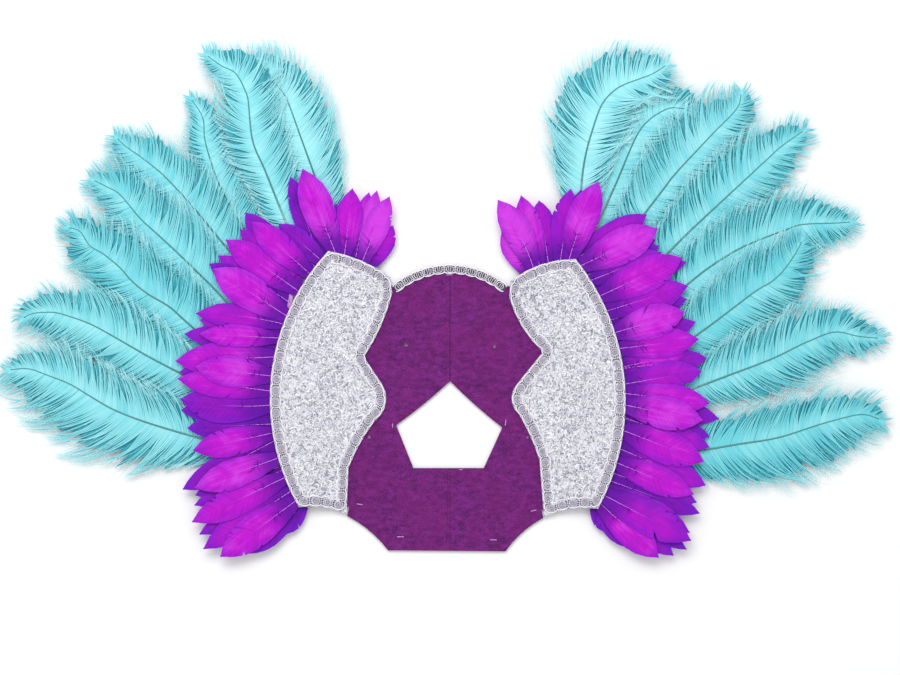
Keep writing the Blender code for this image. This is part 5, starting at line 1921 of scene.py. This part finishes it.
        return angle + curl[:, None] * smooth_step((s - 0.55) / 0.45)

    def undervane(self, upper_hand: float) -> Surface:
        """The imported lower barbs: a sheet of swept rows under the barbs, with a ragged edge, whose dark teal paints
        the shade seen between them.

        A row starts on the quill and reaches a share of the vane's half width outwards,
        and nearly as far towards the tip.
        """
        rows, columns = 90, 13
        v = np.linspace(-1.0, 1.0, columns)
        share = np.linspace(self.starts_at, 0.97, rows)
        halves = np.where(v * upper_hand > 0.0, self.plume.upper, self.plume.lower) * GRID * self.undervane_share
        rag = 1.0 + self.rng.normal(0.0, 0.10, (rows, 2))
        rag = np.where(v[None, :] < 0.0, rag[:, :1], rag[:, 1:])
        reach = v[None, :] * halves[None, :] * profile_at(PLUME_PROFILE, share)[:, None] * rag
        swept = np.minimum(share[:, None] + 0.62 * np.abs(reach) / self.length, 0.99)
        spots, _, left = self.on_quill(swept.ravel())
        flat = spots + left * reach.reshape(-1, 1)
        z = np.maximum(self.height(flat, reach.ravel()) - 0.0004, 0.0004)
        tint = np.empty((rows, columns, 4))
        tint[..., 0] = share[:, None]
        tint[..., 1] = np.abs(v)
        tint[..., 2] = 0.5
        tint[..., 3] = share[:, None]
        uv = np.stack((np.repeat((share * self.length)[:, None], columns, axis=1), reach), axis=-1)
        faces = grid_faces(1, rows, columns)
        return Surface(np.column_stack((flat, z)), faces, tint.reshape(-1, 4), uv.reshape(-1, 2), 1)

    def quill(self) -> Surface:
        """The quill: a flattened thread that thins from its radius to a quarter of it at the tip."""
        share = np.linspace(0.0, 0.985, 64)
        spots = self.on_quill(share)[0]
        z = self.height(spots, np.zeros(len(spots))) + 0.0006
        tint = np.zeros((1, len(share), 4))
        tint[..., 0] = share
        radii = (self.quill_radius * (1.0 - 0.74 * share**0.8))[None]
        return tube(np.column_stack((spots, z))[None], radii, tint, 6, flat=0.6, finish=2)


# The table and the light


@dataclass
class Studio:
    """The pale table, the soft light from the top of the sheet, and the camera straight above."""

    table_side: float = 14.0
    centre: tuple = (0.0011, -0.01705)
    width_seen: float = 0.990
    lens: float = 150.0
    sensor: float = 36.0
    focus_z: float = 0.006
    sky: float = 0.80
    lamp_power: float = 46.0
    lamp_size: tuple = (2.2, 1.4)
    lamp_at: tuple = (-0.5, 1.7, 2.3)

    def build(self) -> None:
        """Lay the table, hang the lamp and set the camera."""
        self.lay_table()
        self.hang_lamp()
        self.set_camera()

    def lay_table(self) -> None:
        """The table top: one level square at height 0."""
        half = self.table_side / 2.0
        corners = [(-half, -half, 0.0), (half, -half, 0.0), (half, half, 0.0), (-half, half, 0.0)]
        mesh = bpy.data.meshes.new("pale_table")
        mesh.from_pydata(corners, [], [(0, 1, 2, 3)])
        mesh.materials.append(TableFinish().material())
        table = bpy.data.objects.new("pale_table", mesh)
        bpy.context.scene.collection.objects.link(table)
        table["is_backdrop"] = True

    def hang_lamp(self) -> None:
        """A white sky all round, and one wide soft lamp."""
        world = bpy.data.worlds.new("white room")
        world.use_nodes = True
        sky = world.node_tree.nodes["Background"]
        sky.inputs["Color"].default_value = (1.0, 1.0, 1.0, 1.0)
        sky.inputs["Strength"].default_value = self.sky
        bpy.context.scene.world = world
        light = bpy.data.lights.new("soft lamp", "AREA")
        light.shape = "RECTANGLE"
        light.size, light.size_y = self.lamp_size
        light.energy = self.lamp_power
        lamp = bpy.data.objects.new("soft lamp", light)
        lamp.location = self.lamp_at
        away = np.array(self.lamp_at)
        lamp.rotation_mode = "QUATERNION"
        lamp.rotation_quaternion = Vector(tuple(away)).to_track_quat("Z", "Y")
        bpy.context.scene.collection.objects.link(lamp)
        bpy.context.scene.view_settings.view_transform = "Standard"

    def set_camera(self) -> None:
        """A long lens straight above, so that the frame is width_seen wide at focus_z."""
        camera = bpy.data.cameras.new("camera")
        camera.lens = self.lens
        camera.sensor_width = self.sensor
        camera.clip_end = 50.0
        seen = bpy.data.objects.new("camera", camera)
        seen.location = (*self.centre, self.focus_z + self.width_seen * self.lens / self.sensor)
        bpy.context.scene.collection.objects.link(seen)
        bpy.context.scene.camera = seen


def box_lists(box: tuple) -> list:
    """A box's two corners as plain lists of numbers."""
    return [[float(x) for x in corner] for corner in box]


def main() -> None:
    """Build the looks of the piece in order."""
    logging.basicConfig(level=logging.INFO, format="%(name)s %(message)s")
    model_box = box_lists(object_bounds())
    Studio().build()
    plans = [WingPlan(wing) for wing in Wing]
    FeltYoke().build()
    for plan_of in plans:
        GlitterPanel(plan_of.wing).build(plan_of)
    BraidWork().build(plans)
    for plan_of in plans:
        GooseWing(plan_of.wing).build(plan_of)
    room = np.array(model_box)[:, :2] + np.array(((-1.0,), (1.0,))) * PLUME_ROOM
    for plan_of in plans:
        for number, plume in enumerate(OSTRICH_PLUMES[plan_of.wing], start=1):
            PlumeMaker(room).build(plan_of.wing, number, plume, plan_of)


if __name__ == "__main__":
    main()
